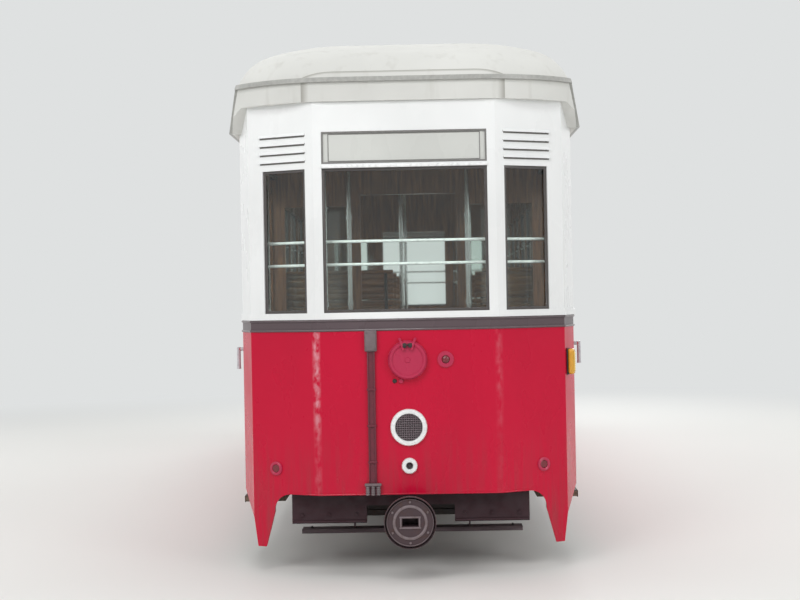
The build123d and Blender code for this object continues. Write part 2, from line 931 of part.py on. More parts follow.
# Bearers of the platforms, and the carrier that holds each coupler's pin between two collars
with BuildPart() as bearers:
    for side in both:
        bearer_x = (side * (bearer_half - bearer_width / 2), side * (bearer_half + bearer_width / 2))
        bearer_y = (back(head_beam_setback + head_beam_thickness), -saloon_end)
        add(block(bearer_x, bearer_y, (bearer_bottom, bearer_top)))
    mirror(about=Plane.XZ)

collar_bottom = rail_top + coupler_height + drawbar_height / 2 + coupler_collar_gap
nut_top = rail_top + coupler_height - drawbar_height / 2 - coupler_collar_gap
with BuildPart() as pin_carriers:
    pin_y = back(coupler_pin_setback)
    carrier_half = bearer_half - bearer_width / 2 - seat_gap
    carrier_y = (pin_y - coupler_collar_r, pin_y + coupler_collar_r)
    carrier_bottom = collar_bottom + coupler_collar_thickness
    add(block((-carrier_half, carrier_half), carrier_y, (carrier_bottom, bearer_top)))
    collar_x = (-coupler_collar_r, coupler_collar_r)
    add(block(collar_x, carrier_y, (collar_bottom, carrier_bottom)))
    add(block(collar_x, carrier_y, (nut_top - coupler_collar_thickness, nut_top)))
    add(rod((0, pin_y, nut_top), (0, pin_y, collar_bottom), coupler_pin_r))
    add(pin_carriers.part.rotate(Axis.Z, 180))

# Head beams, each with an opening in which its drawbar swings
with BuildPart() as head_beams:
    for way in both:
        beam_outer = half_length - head_beam_setback
        beam_y = (way * beam_outer, way * (beam_outer - head_beam_thickness))
        beam_z = (rail_top + head_beam_bottom_height, bearer_top)
        opening_x = (-head_beam_opening_half, head_beam_opening_half)
        opening_z = (beam_z[0], rail_top + head_beam_opening_height)
        add(block((-head_beam_half, head_beam_half), beam_y, beam_z))
        add(block(opening_x, beam_y, opening_z), mode=Mode.SUBTRACT)

# Wheelsets: an axle and two flanged disc wheels
axle_profile = [  # x, radius
    (0, wheel_seat_r),
    (journal_start, wheel_seat_r),
    (journal_start, journal_r),
    (journal_end, journal_r),
]
tyre_inner_r = tread_r - tyre_thickness
wheel_profile = [  # x, radius
    (wheel_inner, wheel_seat_r),
    (wheel_inner, tread_r + flange_depth),
    (wheel_inner + flange_thickness, tread_r + tread_rise),
    (wheel_outer, tread_r - tread_fall),
    (wheel_outer, tyre_inner_r),
    (wheel_inner + wheel_plate_depth, wheel_hub_r),
    (wheel_outer, wheel_hub_r),
    (wheel_outer, wheel_seat_r),
]


def axle(y):
    with BuildPart() as shaft:
        with BuildSketch(Plane(origin=(0, y, axle_z), x_dir=(1, 0, 0), z_dir=(0, -1, 0))):
            half = axle_profile + [(journal_end, 0), (-journal_end, 0)]
            Polygon(*half, *[(-x, r) for x, r in reversed(axle_profile[1:])], align=None)
        revolve(axis=Axis((0, y, axle_z), (1, 0, 0)))
    return shaft.part


def wheels(y):
    with BuildPart() as pair:
        with BuildSketch(Plane(origin=(0, y, axle_z), x_dir=(1, 0, 0), z_dir=(0, -1, 0))):
            Polygon(*wheel_profile, align=None)
            mirror(about=Plane.YZ)
        revolve(axis=Axis((0, y, axle_z), (1, 0, 0)))
    return pair.part


with BuildPart() as axle_front:
    add(axle(-axle_y))
with BuildPart() as axle_rear:
    add(axle(axle_y))
with BuildPart() as wheels_front:
    add(wheels(-axle_y))
with BuildPart() as wheels_rear:
    add(wheels(axle_y))

# Axle guards: plates on the solebars with a slot in which the axlebox is held
axlebox_x = (journal_start + axlebox_gap, journal_end + axlebox_cap)
slot_half = axlebox_half + seat_gap
guard_low = rail_top + guard_foot_height
guard_outline = [  # distance from the axle, height
    (slot_half, guard_low),
    (slot_half + guard_foot, guard_low),
    (guard_half_width, solebar_bottom),
    (guard_half_width, solebar_top),
    (-guard_half_width, solebar_top),
    (-guard_half_width, solebar_bottom),
    (-slot_half - guard_foot, guard_low),
    (-slot_half, guard_low),
    (-slot_half, axle_z + axlebox_half + seat_gap),
    (slot_half, axle_z + axlebox_half + seat_gap),
]
wheel_places = [(side, way * axle_y) for side in both for way in both]
with BuildPart() as axle_guards:
    for side, y in wheel_places:
        with BuildSketch(Plane.YZ.offset(side * guard_x if side > 0 else -guard_x - guard_thickness)):
            Polygon(*[(y + along, z) for along, z in guard_outline], align=None)
        extrude(amount=guard_thickness)

with BuildPart() as axleboxes:
    for side, y in wheel_places:
        box_x = (side * axlebox_x[0], side * axlebox_x[1])
        box_y = (y - axlebox_half, y + axlebox_half)
        add(block(box_x, box_y, (axle_z - axlebox_half, axle_z + axlebox_half)))
        bore_start = (side * axlebox_x[0], y, axle_z)
        bore_end = (side * (journal_end + axlebox_bore_gap), y, axle_z)
        add(rod(bore_start, bore_end, journal_r + journal_clearance), mode=Mode.SUBTRACT)

# Leaf springs: each stack stands on its axlebox and hangs from the solebar at its ends
with BuildPart() as leaf_springs:
    for side, y in wheel_places:
        low_x = side * spring_half_position - spring_width / 2
        stack_bottom = axle_z + axlebox_half
        stack_top = stack_bottom + spring_leaf * spring_leaf_count
        with BuildSketch(Plane.YZ.offset(low_x)):
            for i in range(spring_leaf_count):
                share = (i + 1) / spring_leaf_count
                half = spring_half_length * share
                rise = spring_camber * share * share
                low = stack_bottom + i * spring_leaf
                with BuildLine():
                    under = ThreePointArc((y - half, low + rise), (y, low), (y + half, low + rise))
                    over = ThreePointArc(
                        (y + half, low + rise + spring_leaf),
                        (y, low + spring_leaf),
                        (y - half, low + rise + spring_leaf),
                    )
                    Line(under @ 1, over @ 0)
                    Line(over @ 1, under @ 0)
                make_face()
            with Locations((y, (stack_bottom + stack_top + spring_leaf) / 2)):
                Rectangle(2 * buckle_half, stack_top - stack_bottom + spring_leaf)
            shackle_low = stack_top + spring_camber - 2 * spring_leaf
            for end in both:
                shackle_y = y + end * (spring_half_length - shackle_width / 2)
                with Locations((shackle_y, (shackle_low + solebar_bottom) / 2)):
                    Rectangle(shackle_width, solebar_bottom - shackle_low)
        extrude(amount=spring_width)

# Brake gear: a block on each wheel, a beam between them and hangers from the underframe
with BuildPart() as brake_gear:
    for way in both:
        for side in both:
            block_x = (side * (wheel_inner + flange_thickness + brake_gap), side * (wheel_outer - brake_gap))
            with BuildSketch(Plane.YZ.offset(min(block_x))):
                with Locations((way * axle_y, axle_z)):
                    Circle(tread_r + brake_gap + brake_block)
                    Circle(tread_r + brake_gap, mode=Mode.SUBTRACT)
                keep_y = way * (axle_y - tread_r)
                with Locations((keep_y, axle_z)):
                    Rectangle(4 * brake_block, 2 * brake_block_half_height, mode=Mode.INTERSECT)
            extrude(amount=abs(block_x[1] - block_x[0]))
            hanger_y = way * (axle_y - tread_r - brake_gap - brake_block)
            hanger_x = side * (wheel_inner + tyre_width / 2)
            hanger_range = (hanger_y - way * brake_hanger, hanger_y + way * brake_seat)
            hanger_z = (axle_z - brake_hanger_drop, solebar_bottom)
            add(block((hanger_x - brake_hanger_half, hanger_x + brake_hanger_half), hanger_range, hanger_z))
        beam_y = way * (axle_y - tread_r - brake_gap - brake_block - brake_hanger - brake_beam_r / 2)
        beam_half = wheel_inner + tyre_width / 2
        add(bar((-beam_half, beam_y, axle_z), (beam_half, beam_y, axle_z), brake_beam_r))

# Boards: steps, step aprons, lifeguards and side guards
door_y = (back(door_start_setback), back(door_end_setback))
with BuildPart() as step_aprons:
    for side in both:
        apron_x = (side * platform_inner, side * (platform_inner + apron_thickness))
        add(block(apron_x, door_y, (dash_bottom, platform_floor_top)))
    mirror(about=Plane.XZ)

with BuildPart() as step_boards:
    for side in both:
        outer_x = platform_half + step_overhang
        board_z = (rail_top + step_board_height, rail_top + step_board_height + step_board_thickness)
        add(block((side * (outer_x - step_board_width), side * outer_x), door_y, board_z))
        strap_face = platform_inner - step_strap_in
        for y in (door_y[0] + step_strap_in, door_y[1] - step_strap_in):
            strap_x = (side * strap_face, side * (strap_face - hanger_thickness))
            strap_z = (board_z[0], platform_floor_top - floor_thickness)
            add(block(strap_x, (y - strap_half, y + strap_half), strap_z))
    mirror(about=Plane.XZ)

with BuildPart() as lifeguards:
    plank_y = (back(lifeguard_setback), back(lifeguard_setback + lifeguard_depth))
    plank_z = (rail_top + lifeguard_height, rail_top + lifeguard_height + lifeguard_thickness)
    add(block((-lifeguard_half, lifeguard_half), plank_y, plank_z))
    for side in both:
        strap_x = side * (bearer_half + bearer_width / 2)
        strap = (strap_x, strap_x + side * hanger_thickness)
        strap_y = (plank_y[0] + lifeguard_depth / 3, plank_y[0] + 2 * lifeguard_depth / 3)
        add(block(strap, strap_y, (plank_z[0], bearer_top)))
    mirror(about=Plane.XZ)

with BuildPart() as side_guards:
    for side in both:
        guard_outer = side * (solebar_half + side_guard_offset)
        guard_inner = guard_outer - side * side_guard_thickness
        guard_z = (
            rail_top + side_guard_bottom_height,
            rail_top + side_guard_bottom_height + side_guard_depth,
        )
        add(block((guard_inner, guard_outer), (-side_guard_half_length, side_guard_half_length), guard_z))
        for way in both:
            strap_y = way * (side_guard_half_length - side_guard_strap_in)
            strap_range = (strap_y - strap_half, strap_y + strap_half)
            strap_x = (guard_inner, side * (solebar_half + solebar_width / 2 - hanger_thickness))
            add(block(strap_x, strap_range, (guard_z[0], guard_z[0] + hanger_thickness)))
            upright_x = (strap_x[1], strap_x[1] - side * hanger_thickness)
            add(block(upright_x, strap_range, (guard_z[0], solebar_bottom)))


# Round fittings on the dash: lamp cover, ring lamp, socket, marker lamp and reflectors
def disc(plane, radius, depth, edge):
    """A round boss standing on a plane, with a sloping front edge."""
    with BuildPart() as boss:
        with BuildSketch(plane):
            Circle(radius)
        extrude(amount=depth - edge)
        with BuildSketch(plane.offset(depth - edge)):
            Circle(radius)
        with BuildSketch(plane.offset(depth)):
            Circle(radius - edge)
        loft()
    return boss.part


def boss(plane, radius, depth):
    """A small round boss standing on a plane, drawn with a few flat sides."""
    with BuildPart() as made:
        with BuildSketch(plane):
            RegularPolygon(radius, boss_sides)
        extrude(amount=depth)
    return made.part


with BuildPart() as lamp_covers:
    add(disc(front_plane(0, rail_top + cover_height), cover_r, cover_depth, cover_depth / 3))
    add(lamp_covers.part.rotate(Axis.Z, 180))

with BuildPart() as ring_lamps:
    add(disc(front_plane(0, rail_top + ring_height), ring_r, ring_depth, ring_edge))
    with BuildSketch(front_plane(0, rail_top + ring_height).offset(ring_floor)):
        Circle(ring_r - ring_wall)
    extrude(amount=ring_depth, mode=Mode.SUBTRACT)
    add(boss(front_plane(0, rail_top + socket_height), socket_r, socket_depth))
    socket_plane = front_plane(0, rail_top + socket_height).offset(ring_floor)
    add(boss(socket_plane, socket_hole_r, socket_depth), mode=Mode.SUBTRACT)
    add(ring_lamps.part.rotate(Axis.Z, 180))

with BuildPart() as small_lamps:
    add(boss(front_plane(marker_half, rail_top + marker_height), marker_r, marker_depth))
    for side in both:
        facet = facet_plane(side, reflector_along, rail_top + reflector_height)
        add(boss(facet, reflector_r, reflector_depth))
    add(small_lamps.part.rotate(Axis.Z, 180))

with BuildPart() as side_indicators:
    flare = flare_plane(1, indicator_share, rail_top + indicator_height)
    with BuildSketch(flare):
        RectangleRounded(indicator_width, indicator_length, 0.4 * indicator_width)
    extrude(amount=indicator_depth)
    add(side_indicators.part.rotate(Axis.Z, 180))

with BuildPart() as dash_conduits:
    strip_z = (dash_bottom, belt_bottom)
    strip_y = (back(0), back(-conduit_depth))
    add(block((-conduit_half - conduit_width / 2, -conduit_half + conduit_width / 2), strip_y, strip_z))
    box_y = (back(0), back(-conduit_box_depth))
    box_rows = [  # width, bottom, top
        (gland_box_width, strip_z[0], strip_z[0] + gland_box_height),
        (junction_box_width, strip_z[1] - junction_box_height, strip_z[1]),
    ]
    for width, low, high in box_rows:
        add(block((-conduit_half - width / 2, -conduit_half + width / 2), box_y, (low, high)))
    add(dash_conduits.part.rotate(Axis.Z, 180))

# Platform doors: a leaf that slides behind the quarter panel, hung on a rail over the opening
leaf_outer = platform_inner - door_wall_gap
leaf_inner = leaf_outer - door_thickness
leaf_x = (leaf_inner + leaf_outer) / 2
leaf_start = back(door_start_setback - door_edge_gap)
leaf_end = back(door_end_setback + door_overlap)
leaf_bottom = platform_floor_top + door_floor_gap
leaf_top = door_top + door_rail_lift
door_rail_z = leaf_top + door_rail_half + door_hanger_wall
hanger_top = door_rail_z + door_rail_half + door_hanger_wall
leaf_middle = (leaf_start + leaf_end) / 2
door_window_top = window_top
door_window_bottom = rail_top + door_window_bottom_height
hanger_places = (leaf_start + 1.5 * door_hanger_width, leaf_end - 1.5 * door_hanger_width)
rail_end_y = -saloon_end - bulkhead_thickness - seat_gap


def door_leaf(side):
    """The leaf at the front left or right, with its two hangers and its handle."""
    with BuildPart() as leaf:
        with BuildSketch(Plane.YZ.offset(min(side * leaf_inner, side * leaf_outer))):
            with Locations((leaf_middle, (leaf_bottom + leaf_top) / 2)):
                Rectangle(leaf_end - leaf_start, leaf_top - leaf_bottom)
            for y in hanger_places:
                with Locations((y, (leaf_top + hanger_top) / 2)):
                    Rectangle(door_hanger_width, hanger_top - leaf_top)
            with Locations((leaf_middle, (door_window_bottom + door_window_top) / 2)):
                RectangleRounded(
                    door_window_width,
                    door_window_top - door_window_bottom,
                    door_window_corner,
                    mode=Mode.SUBTRACT,
                )
        extrude(amount=door_thickness)
        eye = door_rail_half + door_rail_clearance
        eye_x = (side * leaf_x - eye, side * leaf_x + eye)
        add(block(eye_x, (leaf_start, leaf_end), (door_rail_z - eye, door_rail_z + eye)), mode=Mode.SUBTRACT)
        handle_y = leaf_start + handle_inset
        top_z = rail_top + handle_height
        far_x = side * (leaf_outer + handle_reach)
        add(bar((side * leaf_outer, handle_y, top_z), (far_x, handle_y, top_z), handle_r))
        add(bar((far_x, handle_y, top_z + handle_r), (far_x, handle_y, top_z - handle_drop), handle_r))
        window_y = (leaf_middle - door_window_width / 2, leaf_middle + door_window_width / 2)
        groove_y = (window_y[0] - door_groove, window_y[1] + door_groove)
        groove_z = (door_window_bottom - door_groove, door_window_top + door_groove)
        groove_depth = pane_thickness / 2 + seat_gap
        groove_x = (side * leaf_x - groove_depth, side * leaf_x + groove_depth)
        add(block(groove_x, groove_y, groove_z), mode=Mode.SUBTRACT)
    return leaf.part


def door_pane(side):
    """The glass of a leaf, held in the groove round its window."""
    half_width = door_window_width / 2 + door_groove - seat_gap
    pane_x = (side * leaf_x - pane_thickness / 2, side * leaf_x + pane_thickness / 2)
    pane_z = (door_window_bottom - door_groove + seat_gap, door_window_top + door_groove - seat_gap)
    return block(pane_x, (leaf_middle - half_width, leaf_middle + half_width), pane_z)


door_places = [  # name, side at the front end before the half turn, half turn
    ("front_left", -1, 0),
    ("front_right", 1, 0),
    ("rear_left", 1, 180),
    ("rear_right", -1, 180),
]
doors = {}
for name, side, turn in door_places:
    with BuildPart() as leaf:
        add(door_leaf(side).rotate(Axis.Z, turn))
    with BuildPart() as pane:
        add(door_pane(side).rotate(Axis.Z, turn))
    doors["door_" + name] = leaf
    doors["door_pane_" + name] = pane

with BuildPart() as door_rails:
    for side in both:
        rail_start = back(door_start_setback - door_rail_lead)
        rail_x = (side * leaf_x - door_rail_half, side * leaf_x + door_rail_half)
        rail_z = (door_rail_z - door_rail_half, door_rail_z + door_rail_half)
        add(block(rail_x, (rail_start, rail_end_y), rail_z))
        bracket_x = (side * (leaf_x - door_rail_half), side * platform_inner)
        for y in (rail_start, rail_end_y - door_bracket):
            add(block(bracket_x, (y, y + door_bracket), rail_z))
    add(door_rails.part.rotate(Axis.Z, 180))


# Couplers: a drawbar turning on a pin, with a round buffer plate over a slotted head
def coupler():
    """The coupler of the front end."""
    z = rail_top + coupler_height
    face_y = back(-coupler_reach)
    disc_back = face_y + coupler_disc_thickness
    head_back = disc_back + coupling_head_length
    pin_y = back(coupler_pin_setback)
    with BuildPart() as body:
        half_width = coupling_head_width / 2
        half_height = coupling_head_height / 2
        add(block((-half_width, half_width), (disc_back, head_back), (z - half_height, z + half_height)))
        bar_x = (-drawbar_width / 2, drawbar_width / 2)
        bar_z = (z - drawbar_height / 2, z + drawbar_height / 2)
        add(block(bar_x, (head_back, pin_y), bar_z))
        eye_x = (-drawbar_eye_r, drawbar_eye_r)
        add(block(eye_x, (pin_y - drawbar_eye_r, pin_y + drawbar_eye_r), bar_z))
        with BuildSketch(Plane(origin=(0, disc_back, z), x_dir=(1, 0, 0), z_dir=(0, -1, 0))):
            Circle(coupler_disc_r)
        extrude(amount=coupler_disc_thickness)
        with BuildSketch(Plane(origin=(0, face_y, z), x_dir=(1, 0, 0), z_dir=(0, -1, 0))):
            Circle(coupler_disc_r - coupler_rim)
        extrude(amount=-coupler_disc_thickness / 3, mode=Mode.SUBTRACT)
        mouth_x = (-coupling_mouth_width / 2, coupling_mouth_width / 2)
        mouth_y = (face_y, head_back - coupler_rim)
        mouth_z = (z - coupling_mouth_height / 2, z + coupling_mouth_height / 2)
        add(block(mouth_x, mouth_y, mouth_z), mode=Mode.SUBTRACT)
        hole_y = disc_back + coupling_head_length / 2
        hole = rod(
            (0, hole_y, z - coupling_head_height),
            (0, hole_y, z + coupling_head_height),
            coupling_hole_r,
        )
        add(hole, mode=Mode.SUBTRACT)
        eye = rod(
            (0, pin_y, z - coupling_head_height),
            (0, pin_y, z + coupling_head_height),
            coupler_pin_r + coupler_pin_clearance,
        )
        add(eye, mode=Mode.SUBTRACT)
    return body.part


with BuildPart() as coupler_front:
    add(coupler())
with BuildPart() as coupler_rear:
    add(coupler().rotate(Axis.Z, 180))

pieces = {
    "solebars": solebars,
    "crossbars": crossbars,
    "bearers": bearers,
    "pin_carriers": pin_carriers,
    "head_beams": head_beams,
    "saloon_floor": saloon_floor,
    "platform_floors": platform_floors,
    "dash_front": dash_front,
    "dash_rear": dash_rear,
    "quarter_panels": quarter_panels,
    "front_frame": front_frame,
    "rear_frame": rear_frame,
    "side_panel_left": side_panel_left,
    "side_panel_right": side_panel_right,
    "side_frame_left": side_frame_left,
    "side_frame_right": side_frame_right,
    "roof": roof,
    "drip_moulding": drip_moulding,
    "bulkheads": bulkheads,
    "bulkhead_panes": bulkhead_panes,
    "saloon_sashes": saloon_sashes,
    "saloon_panes": saloon_panes,
    "end_panes": end_panes,
    "sign_boxes": sign_boxes,
    "benches": benches,
    "grab_poles": grab_poles,
    "guard_bars": guard_bars,
    "handbrakes": handbrakes,
    "ceiling_lamps": ceiling_lamps,
    "lamp_covers": lamp_covers,
    "ring_lamps": ring_lamps,
    "small_lamps": small_lamps,
    "side_indicators": side_indicators,
    "dash_conduits": dash_conduits,
    "axle_guards": axle_guards,
    "axleboxes": axleboxes,
    "leaf_springs": leaf_springs,
    "brake_gear": brake_gear,
    "step_aprons": step_aprons,
    "step_boards": step_boards,
    "lifeguards": lifeguards,
    "side_guards": side_guards,
    "door_rails": door_rails,
    "axle_front": axle_front,
    "axle_rear": axle_rear,
    "wheels_front": wheels_front,
    "wheels_rear": wheels_rear,
    "coupler_front": coupler_front,
    "coupler_rear": coupler_rear,
    **doors,
}
os.makedirs("parts", exist_ok=True)
for name, piece in pieces.items():
    piece.part.label = name
    export_step(piece.part, "parts/" + name + ".step")
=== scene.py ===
import bmesh
import bpy
from math import cos, hypot, pi, radians, sin
from mathutils import Matrix, Quaternion, Vector


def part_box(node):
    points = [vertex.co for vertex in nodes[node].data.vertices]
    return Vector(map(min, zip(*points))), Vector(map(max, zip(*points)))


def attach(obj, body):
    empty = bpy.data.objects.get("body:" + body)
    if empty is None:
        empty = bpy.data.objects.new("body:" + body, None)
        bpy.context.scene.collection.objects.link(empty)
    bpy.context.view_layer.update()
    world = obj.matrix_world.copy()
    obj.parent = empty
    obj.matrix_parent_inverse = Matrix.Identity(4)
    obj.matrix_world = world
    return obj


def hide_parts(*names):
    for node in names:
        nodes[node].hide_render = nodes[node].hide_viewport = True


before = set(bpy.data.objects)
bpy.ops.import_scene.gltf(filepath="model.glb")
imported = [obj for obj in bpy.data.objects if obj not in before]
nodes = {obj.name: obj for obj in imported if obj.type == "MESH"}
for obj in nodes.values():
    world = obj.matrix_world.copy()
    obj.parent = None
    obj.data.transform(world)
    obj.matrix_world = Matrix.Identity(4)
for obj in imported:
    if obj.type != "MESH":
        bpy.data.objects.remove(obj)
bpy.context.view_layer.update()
print("frame loaded:", len(nodes), "nodes")


def mm(value):
    return value / 1000  # the scene and its Object coordinates are in metres


def box(name):
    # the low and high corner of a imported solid, in the millimetres that the pieces are modelled in
    return [corner * 1000 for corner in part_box(name)]


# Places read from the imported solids
frontFace, platformHalf = box("dash_front")[0].y, box("dash_front")[1].x
halfLength = -frontFace
panelLow, panelHigh = box("side_panel_right")
saloonInner, dashBottom = panelLow.x, panelLow.z
saloonHalf, saloonEnd = panelHigh.x, panelHigh.y
beltBottom = box("front_frame")[0].z
beltTop = beltBottom + 64
sill, windowTop = [corner.z for corner in box("end_panes")]
saloonWindowTop = box("saloon_sashes")[1].z
eave = box("side_frame_right")[1].z
crown = box("roof")[1].z
platformFloorTop = box("platform_floors")[1].z
saloonFloorTop = box("saloon_floor")[1].z
axleLow, axleHigh = box("axle_front")
axleHeight, axleY = (axleLow.z + axleHigh.z) / 2, -(axleLow.y + axleHigh.y) / 2
railTop = 22
endPlan = {"centreHalf": 530, "cornerHalf": 930, "cornerSetback": 200, "flareSetback": 420}


# Colours and node trees
def hexColour(code):
    # sRGB hex to linear
    levels = [int(code[i:i + 2], 16) / 255 for i in (0, 2, 4)]
    return [c / 12.92 if c <= 0.04045 else ((c + 0.055) / 1.055) ** 2.4 for c in levels] + [1.0]


def addNode(tree, kind, *values, out=None, **named):
    # values go to the sockets that show, a text as a colour; a capital names a socket, else it is a setting
    node = tree.nodes.new("ShaderNode" + kind)
    for key in [key for key in named if key[0].islower()]:
        setattr(node, key, named.pop(key))
    shown = [socket for socket in node.inputs if socket.enabled]
    for socket, value in [*zip(shown, values), *((node.inputs[key], named[key]) for key in named)]:
        if isinstance(value, bpy.types.NodeSocket):
            tree.links.new(value, socket)
        else:
            socket.default_value = hexColour(value) if isinstance(value, str) else value
    return node.outputs[out] if out else next(socket for socket in node.outputs if socket.enabled)


def newMaterial(name, **values):
    # a Principled material with its plain sockets set, and the object's own coordinates
    material = bpy.data.materials.new(name)
    material.use_nodes = True
    tree = material.node_tree
    for key, value in values.items():
        tree.nodes["Principled BSDF"].inputs[key.replace("_", " ")].default_value = value
    return material, tree, addNode(tree, "TexCoord", out="Object")


def joined(material, **outputs):
    # the material with these outputs joined to its shader
    tree = material.node_tree
    for key, output in outputs.items():
        tree.links.new(output, tree.nodes["Principled BSDF"].inputs[key.replace("_", " ")])
    return material


noiseSpan = (0.3, 0.7)  # most of a noise lies between these


def addGrain(tree, place, size, stretch=(1, 1, 1), detail=4.0, distortion=0.0):
    # noise whose grains are this large in millimetres, drawn out along X, Y and Z
    scaled = addNode(tree, "VectorMath", place, [1 / mm(size * s) for s in stretch], operation="MULTIPLY")
    return addNode(tree, "TexNoise", Vector=scaled, Scale=1.0, Detail=detail, Distortion=distortion)


def addRelief(tree, place, size, detail, depth, strength, **under):
    # a skin raised by noise of this grain size and depth in millimetres
    grain = addGrain(tree, place, size, detail=detail)
    return addNode(tree, "Bump", Height=grain, Distance=mm(depth), Strength=strength, **under)


def addWood(tree, place, light, dark, along, board=None):
    # long grain along an axis; boards of a width along another have a dark gap and a tone of their own
    stretch = [14 if axis == along else 1 for axis in "XYZ"]
    fine = addGrain(tree, place, 3, stretch, 2.0)
    share = addNode(tree, "MapRange", addGrain(tree, place, 14, stretch, 5.0, 0.4), *noiseSpan, 0, 1)
    tone = addNode(tree, "Mix", share, dark, light, data_type="RGBA")
    share = addNode(tree, "MapRange", fine, 0.45, 0.75, 0, 0.35)
    tone = addNode(tree, "Mix", share, tone, dark, data_type="RGBA")
    height = addNode(tree, "MapRange", fine, *noiseSpan, 0, 1)
    if board:
        axis, width = board
        across = addNode(tree, "SeparateXYZ", place, out=axis)
        across = addNode(tree, "Math", across, 1 / mm(width), operation="MULTIPLY")
        share = addNode(tree, "Math", across, operation="FRACT")
        number = addNode(tree, "Math", across, operation="FLOOR")
        own = addNode(tree, "TexWhiteNoise", W=number, noise_dimensions="1D")
        own = addNode(tree, "MapRange", own, 0, 1, 0.82, 1.12)
        shaded = addNode(tree, "HueSaturation", Value=own, Color=tone)
        gap = addNode(tree, "Math", share, 1 - 5 / width, operation="GREATER_THAN")
        tone = addNode(tree, "Mix", gap, shaded, "241A14", data_type="RGBA")
        height = addNode(tree, "Math", height, gap, operation="SUBTRACT")
    return tone, height


# 1 behind the skin of the platform ends, whose plan is five straight walls
def addEndDepth(tree, place):
    x = addNode(tree, "Math", addNode(tree, "SeparateXYZ", place), operation="ABSOLUTE")
    y = addNode(tree, "Math", addNode(tree, "SeparateXYZ", place, out="Y"), operation="ABSOLUTE")
    corners = [
        (platformHalf, halfLength - endPlan["flareSetback"]),
        (endPlan["cornerHalf"], halfLength - endPlan["cornerSetback"]),
        (endPlan["centreHalf"], halfLength),
    ]
    deepest = addNode(tree, "Math", x, mm(platformHalf), operation="SUBTRACT")
    walls = list(zip(corners, corners[1:])) + [((0, halfLength), (-1000, halfLength))]
    for (x0, y0), (x1, y1) in walls:
        length = hypot(x1 - x0, y1 - y0)
        nx, ny = (y1 - y0) / length, (x0 - x1) / length
        part = addNode(tree, "Math", y, ny, mm(-x0 * nx - y0 * ny), operation="MULTIPLY_ADD")
        part = addNode(tree, "Math", x, nx, part, operation="MULTIPLY_ADD")
        deepest = addNode(tree, "Math", deepest, part, operation="MAXIMUM")
    return addNode(tree, "Math", deepest, mm(-25), operation="LESS_THAN")


def addSideDepth(tree, place):
    x = addNode(tree, "Math", addNode(tree, "SeparateXYZ", place), operation="ABSOLUTE")
    return addNode(tree, "Math", x, mm(saloonHalf - 35), operation="LESS_THAN")


# the livery's colours, with a pale pink for the painted highlight on the front folds
livery = {
    "red": "C40433", "highlightPink": "E3A9B4", "belt": "5E5155", "white": "F0F1F1", "dust": "6B4A48",
    "varnishLight": "8F5E34", "varnishDark": "54301A", "orangePeel": 3, "dentSize": 420,
    "dirtBelow": 150, "dirtAbove": 420, "foldWidth": (5, 27), "highlightFrom": (780, 1000), "rightFold": 0.2,
}


# Enamel brushed and rubbed down by hand over sheet steel: glossy, with soft dents that bend its reflections
def enamel(name, bands, inside=None, foldHighlight=0.0):
    material, tree, place = newMaterial(name, Coat_Weight=0.12, Coat_Roughness=0.12, Specular_IOR_Level=0.24)
    height = addNode(tree, "SeparateXYZ", place, out="Z")
    colour = bands[0][1]
    for low, code in bands[1:]:
        above = addNode(tree, "Math", height, mm(low), operation="GREATER_THAN")
        colour = addNode(tree, "Mix", above, colour, code, data_type="RGBA")
    faded = addNode(tree, "MapRange", addGrain(tree, place, 700, (1, 1, 1.6), 3.0), *noiseSpan, 0.93, 1.06)
    colour = addNode(tree, "HueSaturation", Value=faded, Color=colour)
    # dirt in streaks at the foot of the panels
    streaks = addNode(tree, "MapRange", addGrain(tree, place, 26, (1, 1, 16)), 0.42, 0.7, 0, 0.34)
    low, high = dashBottom - livery["dirtBelow"], dashBottom + livery["dirtAbove"]
    foot = addNode(tree, "MapRange", height, mm(low), mm(high), 1, 0)
    dirt = addNode(tree, "Math", streaks, foot, operation="MULTIPLY")
    colour = addNode(tree, "Mix", dirt, colour, livery["dust"], data_type="RGBA")
    if foldHighlight:
        # painted highlight along the folds of the front sheet, where the bends catch the light, most at the
        # left
        x = addNode(tree, "SeparateXYZ", place)
        for fold, share in ((-1, foldHighlight), (1, foldHighlight * livery["rightFold"])):
            away = addNode(tree, "Math", x, mm(fold * endPlan["centreHalf"]), operation="SUBTRACT")
            away = addNode(tree, "Math", away, operation="ABSOLUTE")
            line = addNode(tree, "MapRange", away, *map(mm, livery["foldWidth"]), 1, 0)
            patchy = addNode(tree, "MapRange", addGrain(tree, place, 26, (1, 1, 1.7)), 0.38, 0.66, 0, share)
            upper = addNode(tree, "MapRange", height, *map(mm, livery["highlightFrom"]), 0.25, 1)
            patchy = addNode(tree, "Math", patchy, upper, operation="MULTIPLY")
            line = addNode(tree, "Math", line, patchy, operation="MULTIPLY")
            colour = addNode(tree, "Mix", line, colour, livery["highlightPink"], data_type="RGBA")
    if inside:
        # varnished boards line the inside, down to the floor
        wood = addWood(tree, place, livery["varnishLight"], livery["varnishDark"], "Z")[0]
        above = addNode(tree, "Math", height, mm(platformFloorTop - 60), operation="GREATER_THAN")
        lined = addNode(tree, "Math", inside(tree, place), above, operation="MULTIPLY")
        colour = addNode(tree, "Mix", lined, colour, wood, data_type="RGBA")
    rough = addNode(tree, "MapRange", addGrain(tree, place, 180, (1, 1, 2)), *noiseSpan, 0.22, 0.36)
    dents = addRelief(tree, place, livery["dentSize"], 1.0, 5, 0.28)
    peel = addRelief(tree, place, livery["orangePeel"], 1.0, 0.15, 0.15, Normal=dents)
    return joined(material, Base_Color=colour, Roughness=rough, Normal=peel)


